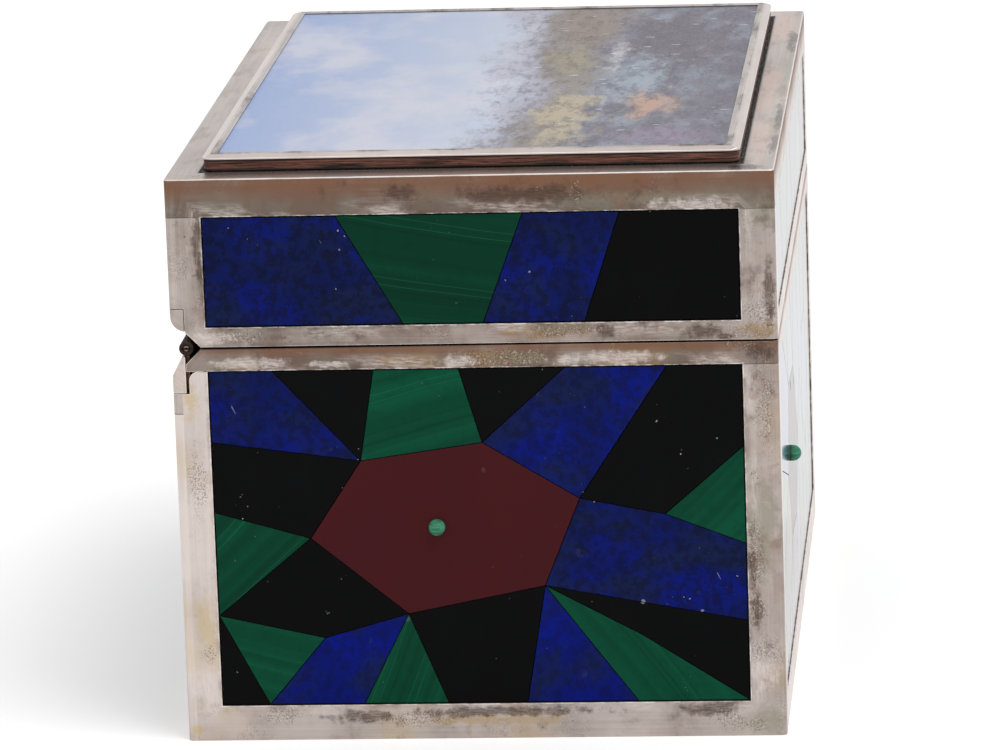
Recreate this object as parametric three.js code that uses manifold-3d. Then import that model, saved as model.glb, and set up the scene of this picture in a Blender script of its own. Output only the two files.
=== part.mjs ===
// A silver presentation box with a hinged lid. Silver frames hold panels of inlaid stone on all four
// walls, and a painted panel in a bevelled rim stands on the lid. Millimetres, +Z up. The front faces -Y,
// the hinge runs along X at the back, and the origin is the middle of the underside.
import * as THREE from "three";
import { mergeVertices } from "three/addons/utils/BufferGeometryUtils.js";
import Module from "manifold-3d";

const wasm = await Module();
wasm.setup();

// The closed box, without the plaque and the cabochons.
const LENGTH = 147; // along the hinge
const DEPTH = 100; // from the front to the back
const BODY_HEIGHT = 67.15;
const LID_HEIGHT = 28.25;
const SEAM_GAP = 0.3; // between the body's rim and the lid's
const CORNER_RADIUS = 0.8; // on the upright edges

// Sheet thicknesses, and the clearance left for solder, which the stones' mastic fills too.
const FRAME = 1.6;
const LINER = 1.2;
const BASE = 1.5;
const TOP = 1.2;
const SOLDER = 0.1;
const STONE_RECESS = 0.2; // from the face of a frame back to its stones
const JOINT = 0.12; // between two stones, and between a stone and its frame
const JOINT_DEPTH = 1; // of the joints where stones share a bed

// The members of the frames.
const STILE = 5.9;
const BODY_TOP_RAIL = 3.8;
const BODY_BOTTOM_RAIL = 6;
const LID_TOP_RAIL = 5.1;
const LID_BOTTOM_RAIL = 3.3;
const BACK_RAIL = 3.4; // the rail of each back frame next to the hinge
const WORN_CORNER = 1.5; // radius where each body stile ends below its rail, beside the hinge

// The hinge lies in a groove with two sloping sides, cut along the back edge of body and lid. A moulded
// strip closes the groove behind, a solid bearer carries it in front, and the leaves stand between them.
const PIN_RADIUS = 0.55;
const PIN_CLEARANCE = 0.05;
const KNUCKLE_RADIUS = 1.2;
const KNUCKLE_CLEARANCE = 0.2;
const KNUCKLES = 7;
const KNUCKLE_GAP = 0.3;
const PIVOT_INSET = 2.55; // from the back to the pin's axis
const GROOVE_OFFSET = 1.8; // from the pin's axis to each slope
const LEAF = 0.44;
const LEAF_END = 2; // from the end of the box to the end of a leaf
const LEAF_CLEARANCE = 0.03; // on each face of a leaf
const BODY_STRIP_HEIGHT = 7.45; // from the seam
const BODY_STRIP_SLOPE_RUN = 1.75;
const BODY_STRIP_SLOPE_DROP = 3.3;
const LID_STRIP_HEIGHT = 6.45; // from the seam
const LID_STRIP_ROUND = 2.85;
const LID_STRIP_RAISED = 2.8; // from the pin's axis up to the strip's round
const BEARER = 3.7;
const BEARER_CHAMFER = 1.6;

// The plaque on the lid: a bevelled rim round a painted panel, on a board.
const PLAQUE_MARGIN = 5.7;
const PLAQUE_CORNER = 1.6;
const BOARD = 1.8;
const BOARD_INSET = 0.15; // from the edge of the rim to the board
const RIM_EDGE = 0.3; // how thick the rim is where its bevel starts
const RIM_RISE = 0.65;
const RIM_BEVEL = 1.6;
const RIM_WIDTH = 2.4;
const RIM_STEP = 0.15; // down from the bevel to the inner lip
const RIM_LIP = 1; // how far the rim reaches over the panel
const PAINTED_PANEL = 0.5;
const PANEL_CLEARANCE = 0.05;

// The green cabochons that stand out of the front and the left mosaics.
const CABOCHON_RADIUS = 1.38;
const CABOCHON_RISE = 1.65; // above the frames
const CABOCHON_STEPS = 6;
const ROUND_SEGMENTS = 24;
const ARC_SEGMENTS = 6;

// Levels and lines that several pieces share.
const LID_BASE = BODY_HEIGHT + SEAM_GAP;
const LID_FRAME_TOP = LID_BASE + LID_HEIGHT - TOP - SOLDER;
const LID_TOP = LID_BASE + LID_HEIGHT;
const PIVOT_Y = DEPTH / 2 - PIVOT_INSET;
const PIVOT_Z = BODY_HEIGHT + SEAM_GAP / 2;
const BODY_STRIP_BASE = BODY_HEIGHT - BODY_STRIP_HEIGHT;
const BODY_STRIP_TOP = PIVOT_Z - KNUCKLE_RADIUS - KNUCKLE_CLEARANCE;
const LID_STRIP_TOP = LID_BASE + LID_STRIP_HEIGHT;
const LEAF_SLOT = LEAF + 2 * LEAF_CLEARANCE;
const STRIP_FACE = DEPTH / 2 - PIVOT_INSET + LEAF_SLOT / 2;
const BEARER_BACK = STRIP_FACE - LEAF_SLOT;
const BEARER_FACE = BEARER_BACK - BEARER;
const GROOVE_APEX = PIVOT_Y - GROOVE_OFFSET * Math.SQRT2;
const FRAME_INSIDE = { x: LENGTH / 2 - FRAME - SOLDER, y: DEPTH / 2 - FRAME - SOLDER };
const LINER_INSIDE = { x: FRAME_INSIDE.x - LINER, y: FRAME_INSIDE.y - LINER };

const SILVER = { color: 0xb9afa8, roughness: 0.28, metalness: 1 };
const TARNISHED = { color: 0x6a625d, roughness: 0.4, metalness: 1 };
const GILT = { color: 0xc9a765, roughness: 0.3, metalness: 1 };
const PAINT = { color: 0xb4bccb, roughness: 0.4, metalness: 0 };
const DARK_WOOD = { color: 0x3b2219, roughness: 0.6, metalness: 0 };
const STONES = {
  onyx: { color: 0x121315, roughness: 0.18, metalness: 0 },
  lapis: { color: 0x111f6b, roughness: 0.2, metalness: 0 },
  malachite: { color: 0x0e5a3c, roughness: 0.2, metalness: 0 },
  jasper: { color: 0x4f2023, roughness: 0.22, metalness: 0 },
};

// The stones of the body's end walls. The place of each joint is a share of the width and height of the window,
// from its lower left corner, and each stone goes round its joints anticlockwise.
const BODY_JOINTS = {
  bottomLeft: [0, 0],
  bottomRight: [1, 0],
  topRight: [1, 1],
  topLeft: [0, 1],
  m1: [0.18, 0.5],
  m2: [0.36, 0.27],
  m3: [0.62, 0.35],
  m4: [0.69, 0.61],
  m5: [0.51, 0.78],
  m6: [0.28, 0.73],
  b1: [0.09, 0],
  b2: [0.27, 0],
  b3: [0.43, 0],
  b4: [0.58, 0],
  b5: [0.79, 0],
  r1: [1, 0.24],
  r2: [1, 0.47],
  r3: [1, 0.76],
  t1: [0.86, 1],
  t2: [0.67, 1],
  t3: [0.47, 1],
  t4: [0.31, 1],
  t5: [0.12, 1],
  l1: [0, 0.79],
  l2: [0, 0.58],
  l3: [0, 0.27],
  i1: [0.85, 0.56],
  i2: [0.8, 0.2],
  i3: [0.2, 0.2],
};
const BODY_STONES = [
  ["jasper", "m1 m2 m3 m4 m5 m6"],
  ["malachite", "l2 l3 m1"],
  ["onyx", "l1 l2 m1 m6"],
  ["lapis", "l1 m6 t5 topLeft"],
  ["onyx", "m6 t4 t5"],
  ["malachite", "m6 m5 t3 t4"],
  ["onyx", "m5 t2 t3"],
  ["lapis", "m5 m4 t1 t2"],
  ["onyx", "m4 i1 r3 topRight t1"],
  ["malachite", "i1 r2 r3"],
  ["lapis", "m3 r1 r2 i1 m4"],
  ["onyx", "i2 bottomRight r1 m3"],
  ["malachite", "m3 b5 bottomRight i2"],
  ["lapis", "m3 b4 b5"],
  ["onyx", "m3 m2 b3 b4"],
  ["malachite", "m2 b2 b3"],
  ["lapis", "m2 i3 b1 b2"],
  ["onyx", "m1 l3 i3 m2"],
  ["malachite", "l3 b1 i3"],
  ["onyx", "l3 bottomLeft b1"],
];
const LID_JOINTS = {
  bottomLeft: [0, 0],
  bottomRight: [1, 0],
  topRight: [1, 1],
  topLeft: [0, 1],
  b1: [0.37, 0],
  b2: [0.52, 0],
  b3: [0.71, 0],
  t1: [0.25, 1],
  t2: [0.6, 1],
  t3: [0.78, 1],
};
const LID_STONES = [
  ["lapis", "bottomLeft b1 t1 topLeft"],
  ["malachite", "b1 b2 t2 t1"],
  ["lapis", "b2 b3 t3 t2"],
  ["onyx", "b3 bottomRight topRight t3"],
];

// The stones of the long walls.
const LONG_BODY_JOINTS = {
  bottomLeft: [0, 0],
  bottomRight: [1, 0],
  topRight: [1, 1],
  topLeft: [0, 1],
  a1: [0.21, 0.52],
  a2: [0.29, 0.28],
  a3: [0.44, 0.26],
  a4: [0.52, 0.47],
  a5: [0.42, 0.74],
  a6: [0.27, 0.76],
  c1: [0.68, 0.44],
  c2: [0.77, 0.28],
  c3: [0.87, 0.46],
  c4: [0.82, 0.7],
  c5: [0.71, 0.68],
  e1: [0.62, 0.62],
  b1: [0.08, 0],
  b2: [0.2, 0],
  b3: [0.31, 0],
  b4: [0.41, 0],
  b5: [0.55, 0],
  b6: [0.66, 0],
  b7: [0.77, 0],
  b8: [0.9, 0],
  r1: [1, 0.28],
  r2: [1, 0.62],
  l1: [0, 0.3],
  l2: [0, 0.66],
  t1: [0.1, 1],
  t2: [0.22, 1],
  t3: [0.36, 1],
  t4: [0.46, 1],
  t5: [0.57, 1],
  t6: [0.69, 1],
  t7: [0.81, 1],
  t8: [0.92, 1],
};
const LONG_BODY_STONES = [
  ["jasper", "a1 a2 a3 a4 a5 a6"],
  ["lapis", "bottomLeft b1 l1"],
  ["onyx", "l1 b1 a2 a1"],
  ["malachite", "b1 b2 a2"],
  ["lapis", "b2 b3 a2"],
  ["onyx", "b3 b4 a3 a2"],
  ["lapis", "b4 b5 a4 a3"],
  ["malachite", "l1 a1 l2"],
  ["lapis", "l2 a1 a6 t1 topLeft"],
  ["onyx", "a6 t2 t1"],
  ["malachite", "a6 a5 t3 t2"],
  ["onyx", "a5 t4 t3"],
  ["lapis", "a5 a4 e1 t5 t4"],
  ["onyx", "b5 b6 c1 e1 a4"],
  ["malachite", "e1 c1 c5 t6 t5"],
  ["lapis", "c1 c2 c3 c4 c5"],
  ["malachite", "b6 b7 c2 c1"],
  ["onyx", "b7 b8 c3 c2"],
  ["lapis", "b8 bottomRight r1"],
  ["malachite", "b8 r1 r2 c3"],
  ["onyx", "c3 r2 topRight t8 c4"],
  ["lapis", "c4 t8 t7"],
  ["onyx", "c5 c4 t7 t6"],
];
const LONG_LID_JOINTS = {
  bottomLeft: [0, 0],
  bottomRight: [1, 0],
  topRight: [1, 1],
  topLeft: [0, 1],
  b1: [0.2, 0],
  b2: [0.31, 0],
  b3: [0.52, 0],
  b4: [0.6, 0],
  b5: [0.84, 0],
  t1: [0.13, 1],
  t2: [0.38, 1],
  t3: [0.46, 1],
  t4: [0.71, 1],
  t5: [0.79, 1],
};
const LONG_LID_STONES = [
  ["lapis", "bottomLeft b1 t1 topLeft"],
  ["malachite", "b1 b2 t2 t1"],
  ["onyx", "b2 b3 t3 t2"],
  ["lapis", "b3 b4 t4 t3"],
  ["malachite", "b4 b5 t5 t4"],
  ["onyx", "b5 bottomRight topRight t5"],
];
const END_LAYOUT = {
  body: { joints: BODY_JOINTS, stones: BODY_STONES },
  lid: { joints: LID_JOINTS, stones: LID_STONES },
};
const LONG_LAYOUT = {
  body: { joints: LONG_BODY_JOINTS, stones: LONG_BODY_STONES },
  lid: { joints: LONG_LID_JOINTS, stones: LONG_LID_STONES },
};

// How each wall is turned, its width, how far its face is from the origin, and its stones.
// The right and back walls mirror the layout of the walls opposite.
const END = { width: DEPTH, reach: LENGTH / 2, layout: END_LAYOUT, cabochon: [0.42, 0.53] };
const LONG = { width: LENGTH, reach: DEPTH / 2, layout: LONG_LAYOUT, cabochon: [0.29, 0.54] };
const WALLS = {
  front: { ...LONG, turn: 0, mirrored: false },
  right: { ...END, turn: Math.PI / 2, mirrored: true },
  back: { ...LONG, turn: Math.PI, mirrored: true },
  left: { ...END, turn: -Math.PI / 2, mirrored: false },
};

// Turns a closed geometry into a solid that can be joined and cut.
function toSolid(geometry) {
  const bare = geometry.clone();
  bare.deleteAttribute("normal");
  bare.deleteAttribute("uv");
  const merged = mergeVertices(bare, 1e-5);
  const vertProperties = new Float32Array(merged.attributes.position.array);
  const triVerts = new Uint32Array(merged.index.array);
  return new wasm.Manifold(new wasm.Mesh({ numProp: 3, vertProperties, triVerts }));
}

function toMesh(name, solid, look) {
  const result = solid.getMesh();
  const geometry = new THREE.BufferGeometry();
  geometry.setAttribute("position", new THREE.BufferAttribute(result.vertProperties, 3));
  geometry.setIndex(new THREE.BufferAttribute(result.triVerts, 1));
  geometry.computeVertexNormals();
  return named(name, geometry, look);
}

function named(name, geometry, look) {
  const mesh = new THREE.Mesh(geometry, new THREE.MeshStandardMaterial(look));
  mesh.name = name;
  return mesh;
}

function polygon(points) {
  return new THREE.Shape(points.map(([x, y]) => new THREE.Vector2(x, y)));
}

function rectangle(left, right, bottom, top) {
  return polygon([[left, bottom], [right, bottom], [right, top], [left, top]]);
}

function roundedRectangle(halfWidth, halfDepth, radius) {
  const shape = new THREE.Shape();
  shape.absarc(halfWidth - radius, halfDepth - radius, radius, 0, Math.PI / 2);
  shape.absarc(radius - halfWidth, halfDepth - radius, radius, Math.PI / 2, Math.PI);
  shape.absarc(radius - halfWidth, radius - halfDepth, radius, Math.PI, 1.5 * Math.PI);
  shape.absarc(halfWidth - radius, radius - halfDepth, radius, 1.5 * Math.PI, 2 * Math.PI);
  return shape;
}

function extrude(shape, depth) {
  return new THREE.ExtrudeGeometry(shape, { depth, bevelEnabled: false, curveSegments: ARC_SEGMENTS });
}

// A shape drawn in plan, standing between two levels.
function standing(shape, bottom, top) {
  return extrude(shape, top - bottom).translate(0, 0, bottom);
}

// A shape drawn across the box, y to the right and z up, running along X between two places.
function lengthwise(shape, from, to) {
  const turned = new THREE.Matrix4().makeBasis(
    new THREE.Vector3(0, 1, 0), new THREE.Vector3(0, 0, 1), new THREE.Vector3(1, 0, 0));
  return extrude(shape, to - from).applyMatrix4(turned).translate(from, 0, 0);
}

// A shape drawn along the box, x to the right and z up, as thick as the wall from y inwards or outwards.
function crosswise(shape, from, to) {
  return extrude(shape, to - from).rotateX(Math.PI / 2).translate(0, to, 0);
}

function rodAlongX(radius, from, to) {
  const rod = new THREE.CylinderGeometry(radius, radius, to - from, ROUND_SEGMENTS);
  return rod.rotateZ(Math.PI / 2).translate((from + to) / 2, PIVOT_Y, PIVOT_Z);
}

function box(size, centre) {
  return new THREE.BoxGeometry(...size).translate(...centre);
}

// The two halves of the box share their plans. Each has its levels, its rails and its way from the seam.
const BODY = {
  name: "body",
  bottom: 0,
  top: BODY_HEIGHT,
  bottomRail: BODY_BOTTOM_RAIL,
  topRail: BODY_TOP_RAIL,
  linerBottom: BASE + SOLDER,
  linerTop: BODY_HEIGHT,
};
const LID = {
  name: "lid",
  bottom: LID_BASE,
  top: LID_FRAME_TOP,
  bottomRail: LID_BOTTOM_RAIL,
  topRail: LID_TOP_RAIL,
  linerBottom: LID_BASE,
  linerTop: LID_FRAME_TOP,
};
const CORNERS = toSolid(standing(roundedRectangle(LENGTH / 2, DEPTH / 2, CORNER_RADIUS), -1, LID_TOP + 1));

// Where a slope of the groove stands at a given y. Up is 1 in the lid and -1 in the body.
function slopeAt(y, up) {
  return PIVOT_Z + up * (y - GROOVE_APEX);
}

function windowOf(half, wall) {
  const across = wall.width / 2 - STILE;
  if (wall !== WALLS.back) {
    return { across, low: half.bottom + half.bottomRail, high: half.top - half.topRail };
  }
  if (half === BODY) {
    return { across, low: BODY_BOTTOM_RAIL, high: BODY_STRIP_BASE - SOLDER - BACK_RAIL };
  }
  return { across, low: LID_STRIP_TOP + SOLDER + BACK_RAIL, high: LID_FRAME_TOP - LID_TOP_RAIL };
}

function cutWindow(shape, opening) {
  shape.holes.push(rectangle(-opening.across, opening.across, opening.low, opening.high));
  return shape;
}

function frontFrame(half) {
  const outline = rectangle(-FRAME_INSIDE.x, FRAME_INSIDE.x, half.bottom, half.top);
  const frame = crosswise(cutWindow(outline, windowOf(half, WALLS.front)), -DEPTH / 2, FRAME - DEPTH / 2);
  return named(`${half.name}_front_frame`, frame, SILVER);
}

function backFrame(half) {
  const bottom = half === BODY ? 0 : LID_STRIP_TOP + SOLDER;
  const top = half === BODY ? BODY_STRIP_BASE - SOLDER : LID_FRAME_TOP;
  const outline = cutWindow(rectangle(-LENGTH / 2, LENGTH / 2, bottom, top), windowOf(half, WALLS.back));
  const frame = crosswise(outline, DEPTH / 2 - FRAME, DEPTH / 2);
  return toMesh(`${half.name}_back_frame`, toSolid(frame).intersect(CORNERS), SILVER);
}

// The end frames run back to the strips. In the body the stile stops short of the strip, which leaves a
// slot below the rail, and its worn corner widens the slot.
function bodyEndOutline() {
  const seat = STRIP_FACE - SOLDER;
  const railBase = BODY_HEIGHT - BODY_TOP_RAIL;
  const stripBase = BODY_STRIP_BASE - SOLDER;
  const corner = { y: BEARER_BACK - WORN_CORNER, z: railBase - WORN_CORNER };
  const shape = new THREE.Shape();
  shape.moveTo(-DEPTH / 2, 0);
  shape.lineTo(FRAME_INSIDE.y, 0);
  shape.lineTo(FRAME_INSIDE.y, stripBase);
  shape.lineTo(BEARER_BACK, stripBase);
  shape.absarc(corner.y, corner.z, WORN_CORNER, 0, Math.PI / 2);
  shape.lineTo(seat, railBase);
  shape.lineTo(seat, slopeAt(seat, -1));
  shape.lineTo(GROOVE_APEX + SEAM_GAP / 2, BODY_HEIGHT);
  shape.lineTo(-DEPTH / 2, BODY_HEIGHT);
  return shape;
}

function lidEndOutline() {
  const seat = STRIP_FACE - SOLDER;
  return polygon([
    [-DEPTH / 2, LID_BASE],
    [GROOVE_APEX + SEAM_GAP / 2, LID_BASE],
    [seat, slopeAt(seat, 1)],
    [seat, LID_STRIP_TOP + SOLDER],
    [FRAME_INSIDE.y, LID_STRIP_TOP + SOLDER],
    [FRAME_INSIDE.y, LID_FRAME_TOP],
    [-DEPTH / 2, LID_FRAME_TOP],
  ]);
}

function endFrames(half) {
  const outline = half === BODY ? bodyEndOutline() : lidEndOutline();
  cutWindow(outline, windowOf(half, WALLS.left));
  return [["left", -LENGTH / 2], ["right", LENGTH / 2 - FRAME]].map(([side, from]) => {
    const frame = toSolid(lengthwise(outline, from, from + FRAME)).intersect(CORNERS);
    return toMesh(`${half.name}_${side}_frame`, frame, SILVER);
  });
}

// The liners stand inside the frames and carry the stones. The end liners slope with the groove, and the
// back liner stops at the bearer.
function liners(half) {
  const up = half === LID ? 1 : -1;
  const back = LINER_INSIDE.y - SOLDER;
  const rim = half === LID ? half.linerBottom : half.linerTop;
  const far = half === LID ? half.linerTop : half.linerBottom;
  const endOutline = polygon([
    [-FRAME_INSIDE.y, far],
    [-FRAME_INSIDE.y, rim],
    [GROOVE_APEX + SEAM_GAP / 2, rim],
    [back, slopeAt(back, up)],
    [back, far],
  ]);
  const across = LINER_INSIDE.x - SOLDER;
  const frontOutline = rectangle(-across, across, half.linerBottom, half.linerTop);
  const backBottom = half === LID ? LID_STRIP_TOP + SOLDER : half.linerBottom;
  const backTop = half === LID ? half.linerTop : BODY_STRIP_BASE - SOLDER;
  const backOutline = rectangle(-FRAME_INSIDE.x, FRAME_INSIDE.x, backBottom, backTop);
  return [
    named(`${half.name}_left_liner`, lengthwise(endOutline, -FRAME_INSIDE.x, -LINER_INSIDE.x), GILT),
    named(`${half.name}_right_liner`, lengthwise(endOutline, LINER_INSIDE.x, FRAME_INSIDE.x), GILT),
    named(`${half.name}_front_liner`, crosswise(frontOutline, -FRAME_INSIDE.y, -LINER_INSIDE.y), GILT),
    named(`${half.name}_back_liner`, crosswise(backOutline, LINER_INSIDE.y, FRAME_INSIDE.y), GILT),
  ];
}

function bearer(half) {
  const up = half === LID ? 1 : -1;
  const rim = half === LID ? LID_BASE : BODY_HEIGHT;
  const far = half === LID ? LID_STRIP_TOP : BODY_STRIP_BASE;
  const across = LINER_INSIDE.x - SOLDER;
  const outline = polygon([
    [BEARER_FACE, rim],
    [GROOVE_APEX + SEAM_GAP / 2, rim],
    [BEARER_BACK, slopeAt(BEARER_BACK, up)],
    [BEARER_BACK, far],
    [BEARER_FACE + BEARER_CHAMFER, far],
    [BEARER_FACE, far - up * BEARER_CHAMFER],
  ]);
  return named(`${half.name}_hinge_bearer`, lengthwise(outline, -across, across), SILVER);
}

function bodyStrip() {
  const outline = polygon([
    [STRIP_FACE, BODY_STRIP_BASE],
    [DEPTH / 2, BODY_STRIP_BASE],
    [DEPTH / 2, BODY_STRIP_TOP - BODY_STRIP_SLOPE_DROP],
    [DEPTH / 2 - BODY_STRIP_SLOPE_RUN, BODY_STRIP_TOP],
    [STRIP_FACE, BODY_STRIP_TOP],
  ]);
  const strip = toSolid(lengthwise(outline, -LENGTH / 2, LENGTH / 2));
  return toMesh("body_hinge_strip", strip.intersect(CORNERS), SILVER);
}

// The lid's strip is a quarter round, cut off where it meets the leaf.
function lidStrip() {
  const back = DEPTH / 2;
  const centre = { y: back - LID_STRIP_ROUND, z: PIVOT_Z + LID_STRIP_RAISED + LID_STRIP_ROUND };
  const cut = -Math.acos((STRIP_FACE - centre.y) / LID_STRIP_ROUND);
  const outline = new THREE.Shape();
  outline.moveTo(back, LID_STRIP_TOP);
  outline.lineTo(STRIP_FACE, LID_STRIP_TOP);
  outline.absarc(centre.y, centre.z, LID_STRIP_ROUND, cut, 0);
  const strip = toSolid(lengthwise(outline, -LENGTH / 2, LENGTH / 2));
  return toMesh("lid_hinge_strip", strip.intersect(CORNERS), SILVER);
}

// A leaf with its knuckles. The body has the first and the last knuckle of the row.
function leaf(half) {
  const isLid = half === LID;
  const across = LENGTH / 2 - LEAF_END;
  const near = KNUCKLE_RADIUS + KNUCKLE_CLEARANCE;
  const far = isLid ? LID_STRIP_TOP - PIVOT_Z - SOLDER : PIVOT_Z - BODY_STRIP_BASE - SOLDER;
  const middle = (near + far) / 2;
  const up = isLid ? 1 : -1;
  let solid = toSolid(box([2 * across, LEAF, far - near], [0, PIVOT_Y, PIVOT_Z + up * middle]));
  const pitch = (LENGTH + KNUCKLE_GAP) / KNUCKLES;
  for (let i = isLid ? 1 : 0; i < KNUCKLES; i += 2) {
    const from = i * pitch - LENGTH / 2;
    const to = from + pitch - KNUCKLE_GAP;
    const left = Math.max(from, -across);
    const right = Math.min(to, across);
    const webCentre = [(left + right) / 2, PIVOT_Y, PIVOT_Z + up * middle / 2];
    solid = solid.add(toSolid(box([right - left, LEAF, middle], webCentre)));
    solid = solid.add(toSolid(rodAlongX(KNUCKLE_RADIUS, from, to)));
  }
  const bore = rodAlongX(PIN_RADIUS + PIN_CLEARANCE, -LENGTH, LENGTH);
  return toMesh(`${half.name}_hinge_leaf`, solid.subtract(toSolid(bore)), TARNISHED);
}

// From -1 at the left edge of a window to 1 at its right edge, or mirrored.
function acrossWall(wall, share) {
  return wall.mirrored ? 1 - 2 * share : 2 * share - 1;
}

function stoneOutline(half, wall, names) {
  const opening = windowOf(half, wall);
  const inner = opening.across - JOINT / 2;
  const low = opening.low + JOINT / 2;
  const height = opening.high - opening.low - JOINT;
  const { joints } = wall.layout[half.name];
  const order = wall.mirrored ? names.split(" ").reverse() : names.split(" ");
  const corners = order.map((name) => {
    const [share, rise] = joints[name];
    return new THREE.Vector2(acrossWall(wall, share) * inner, low + rise * height);
  });
  return drawnIn(corners, JOINT / 2);
}

function drawnIn(corners, distance) {
  const count = corners.length;
  const shifted = corners.map((corner, i) => {
    const before = corners[(i + count - 1) % count];
    const after = corners[(i + 1) % count];
    const arriving = corner.clone().sub(before).normalize();
    const leaving = after.clone().sub(corner).normalize();
    const bisector = leaving.clone().sub(arriving);
    const turn = arriving.cross(leaving);
    return corner.clone().addScaledVector(bisector, distance / turn);
  });
  return new THREE.Shape(shifted);
}

function cabochonGeometry(foot) {
  const profile = [new THREE.Vector2(0, foot), new THREE.Vector2(CABOCHON_RADIUS, foot)];
  for (let i = 0; i <= CABOCHON_STEPS; i += 1) {
    const angle = (i / CABOCHON_STEPS) * (Math.PI / 2);
    const radius = i === CABOCHON_STEPS ? 0 : CABOCHON_RADIUS * Math.cos(angle);
    profile.push(new THREE.Vector2(radius, CABOCHON_RISE * Math.sin(angle)));
  }
  return new THREE.LatheGeometry(profile, ROUND_SEGMENTS).rotateX(Math.PI / 2);
}

function cabochonPlace(half, wall) {
  const opening = windowOf(half, wall);
  const [share, rise] = wall.cabochon;
  return [acrossWall(wall, share) * opening.across, opening.low + rise * (opening.high - opening.low)];
}

function cabochonHole(half, wall) {
  const hole = new THREE.CylinderGeometry(
    CABOCHON_RADIUS + JOINT, CABOCHON_RADIUS + JOINT, 4 * FRAME, ROUND_SEGMENTS);
  const [x, z] = cabochonPlace(half, wall);
  return toSolid(hole.rotateX(Math.PI / 2).translate(x, z, 0));
}

// Stones are drawn on the wall as it is seen from outside, x to the right and y up, with z out of it.
function onWall(wall, meshes) {
  const face = new THREE.Group();
  face.rotation.set(Math.PI / 2, 0, wall.turn, "ZYX");
  face.position.set(Math.sin(wall.turn) * wall.reach, -Math.cos(wall.turn) * wall.reach, 0);
  face.add(...meshes);
  return face;
}

function windowBed(half, wall) {
  const opening = windowOf(half, wall);
  const bed = rectangle(
    JOINT - opening.across, opening.across - JOINT, opening.low + JOINT, opening.high - JOINT);
  return standing(bed, -FRAME, -STONE_RECESS - JOINT_DEPTH);
}

// One node for each stone of the left wall, counted by its kind.
function separateStones(half, wall) {
  const counts = {};
  const meshes = wall.layout[half.name].stones.map(([stone, names]) => {
    counts[stone] = (counts[stone] ?? 0) + 1;
    const name = `${half.name}_${stone}_${counts[stone]}`;
    const tile = standing(stoneOutline(half, wall, names), -FRAME, -STONE_RECESS);
    if (stone !== "jasper") {
      return named(name, tile, STONES[stone]);
    }
    return toMesh(name, toSolid(tile).subtract(cabochonHole(half, wall)), STONES[stone]);
  });
  return onWall(wall, meshes);
}

// The mosaics of the other walls are each one piece, whose stones share a bed.
function mosaic(half, side) {
  const wall = WALLS[side];
  let solid = toSolid(windowBed(half, wall));
  for (const [, names] of wall.layout[half.name].stones) {
    solid = solid.add(toSolid(standing(stoneOutline(half, wall, names), -FRAME, -STONE_RECESS)));
  }
  if (half === BODY && side === "front") {
    solid = solid.subtract(cabochonHole(half, wall));
  } else if (half === BODY) {
    const [x, z] = cabochonPlace(half, wall);
    solid = solid.add(toSolid(cabochonGeometry(-FRAME).translate(x, z, 0)));
  }
  return onWall(wall, [toMesh(`${half.name}_${side}_mosaic`, solid, STONES.onyx)]);
}

function cabochon(side) {
  const wall = WALLS[side];
  const mesh = named(`${side}_cabochon`, cabochonGeometry(-FRAME), STONES.malachite);
  mesh.position.set(...cabochonPlace(BODY, wall), 0);
  return onWall(wall, [mesh]);
}

function plaque() {
  const half = { x: LENGTH / 2 - PLAQUE_MARGIN, y: DEPTH / 2 - PLAQUE_MARGIN };
  const boardBase = LID_TOP + SOLDER;
  const rimBase = boardBase + BOARD + SOLDER;
  const rimTop = rimBase + RIM_EDGE + RIM_RISE;
  const boardOutline = roundedRectangle(half.x - BOARD_INSET, half.y - BOARD_INSET, PLAQUE_CORNER);
  const inset = (distance) => rectangle(
    distance - half.x, half.x - distance, distance - half.y, half.y - distance);
  const bevelled = new THREE.ExtrudeGeometry(inset(RIM_BEVEL), {
    depth: 2 * RIM_RISE,
    bevelThickness: RIM_RISE,
    bevelSize: RIM_BEVEL,
    bevelSegments: 1,
  }).translate(0, 0, rimBase + RIM_EDGE - 2 * RIM_RISE);
  const upright = standing(roundedRectangle(half.x, half.y, PLAQUE_CORNER), rimBase, rimTop);
  const step = standing(inset(RIM_BEVEL), rimTop - RIM_STEP, rimTop + RIM_STEP);
  const opening = standing(inset(RIM_WIDTH), rimBase - RIM_STEP, rimTop);
  const recess = standing(
    inset(RIM_WIDTH - RIM_LIP), rimBase - RIM_STEP, rimBase + PAINTED_PANEL + PANEL_CLEARANCE);
  const rim = toSolid(bevelled).intersect(toSolid(upright)).subtract(toSolid(step))
    .subtract(toSolid(opening)).subtract(toSolid(recess));
  const panel = standing(
    inset(RIM_WIDTH - RIM_LIP + PANEL_CLEARANCE), rimBase, rimBase + PAINTED_PANEL);
  return [
    named("plaque_board", standing(boardOutline, boardBase, boardBase + BOARD), DARK_WOOD),
    toMesh("plaque_rim", rim, SILVER),
    named("painted_panel", panel, PAINT),
  ];
}

const basePlate = standing(
  rectangle(-FRAME_INSIDE.x, FRAME_INSIDE.x, -FRAME_INSIDE.y, FRAME_INSIDE.y), 0, BASE);
const topPlate = standing(roundedRectangle(LENGTH / 2, DEPTH / 2, CORNER_RADIUS), LID_TOP - TOP, LID_TOP);

const body = new THREE.Group();
body.add(
  named("base_plate", basePlate, SILVER),
  frontFrame(BODY), backFrame(BODY), ...endFrames(BODY), ...liners(BODY),
  bearer(BODY), bodyStrip(), leaf(BODY),
  named("hinge_pin", rodAlongX(PIN_RADIUS, -LENGTH / 2, LENGTH / 2), TARNISHED),
  separateStones(BODY, WALLS.left), cabochon("left"), cabochon("front"),
  mosaic(BODY, "front"), mosaic(BODY, "right"), mosaic(BODY, "back"),
);

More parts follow.
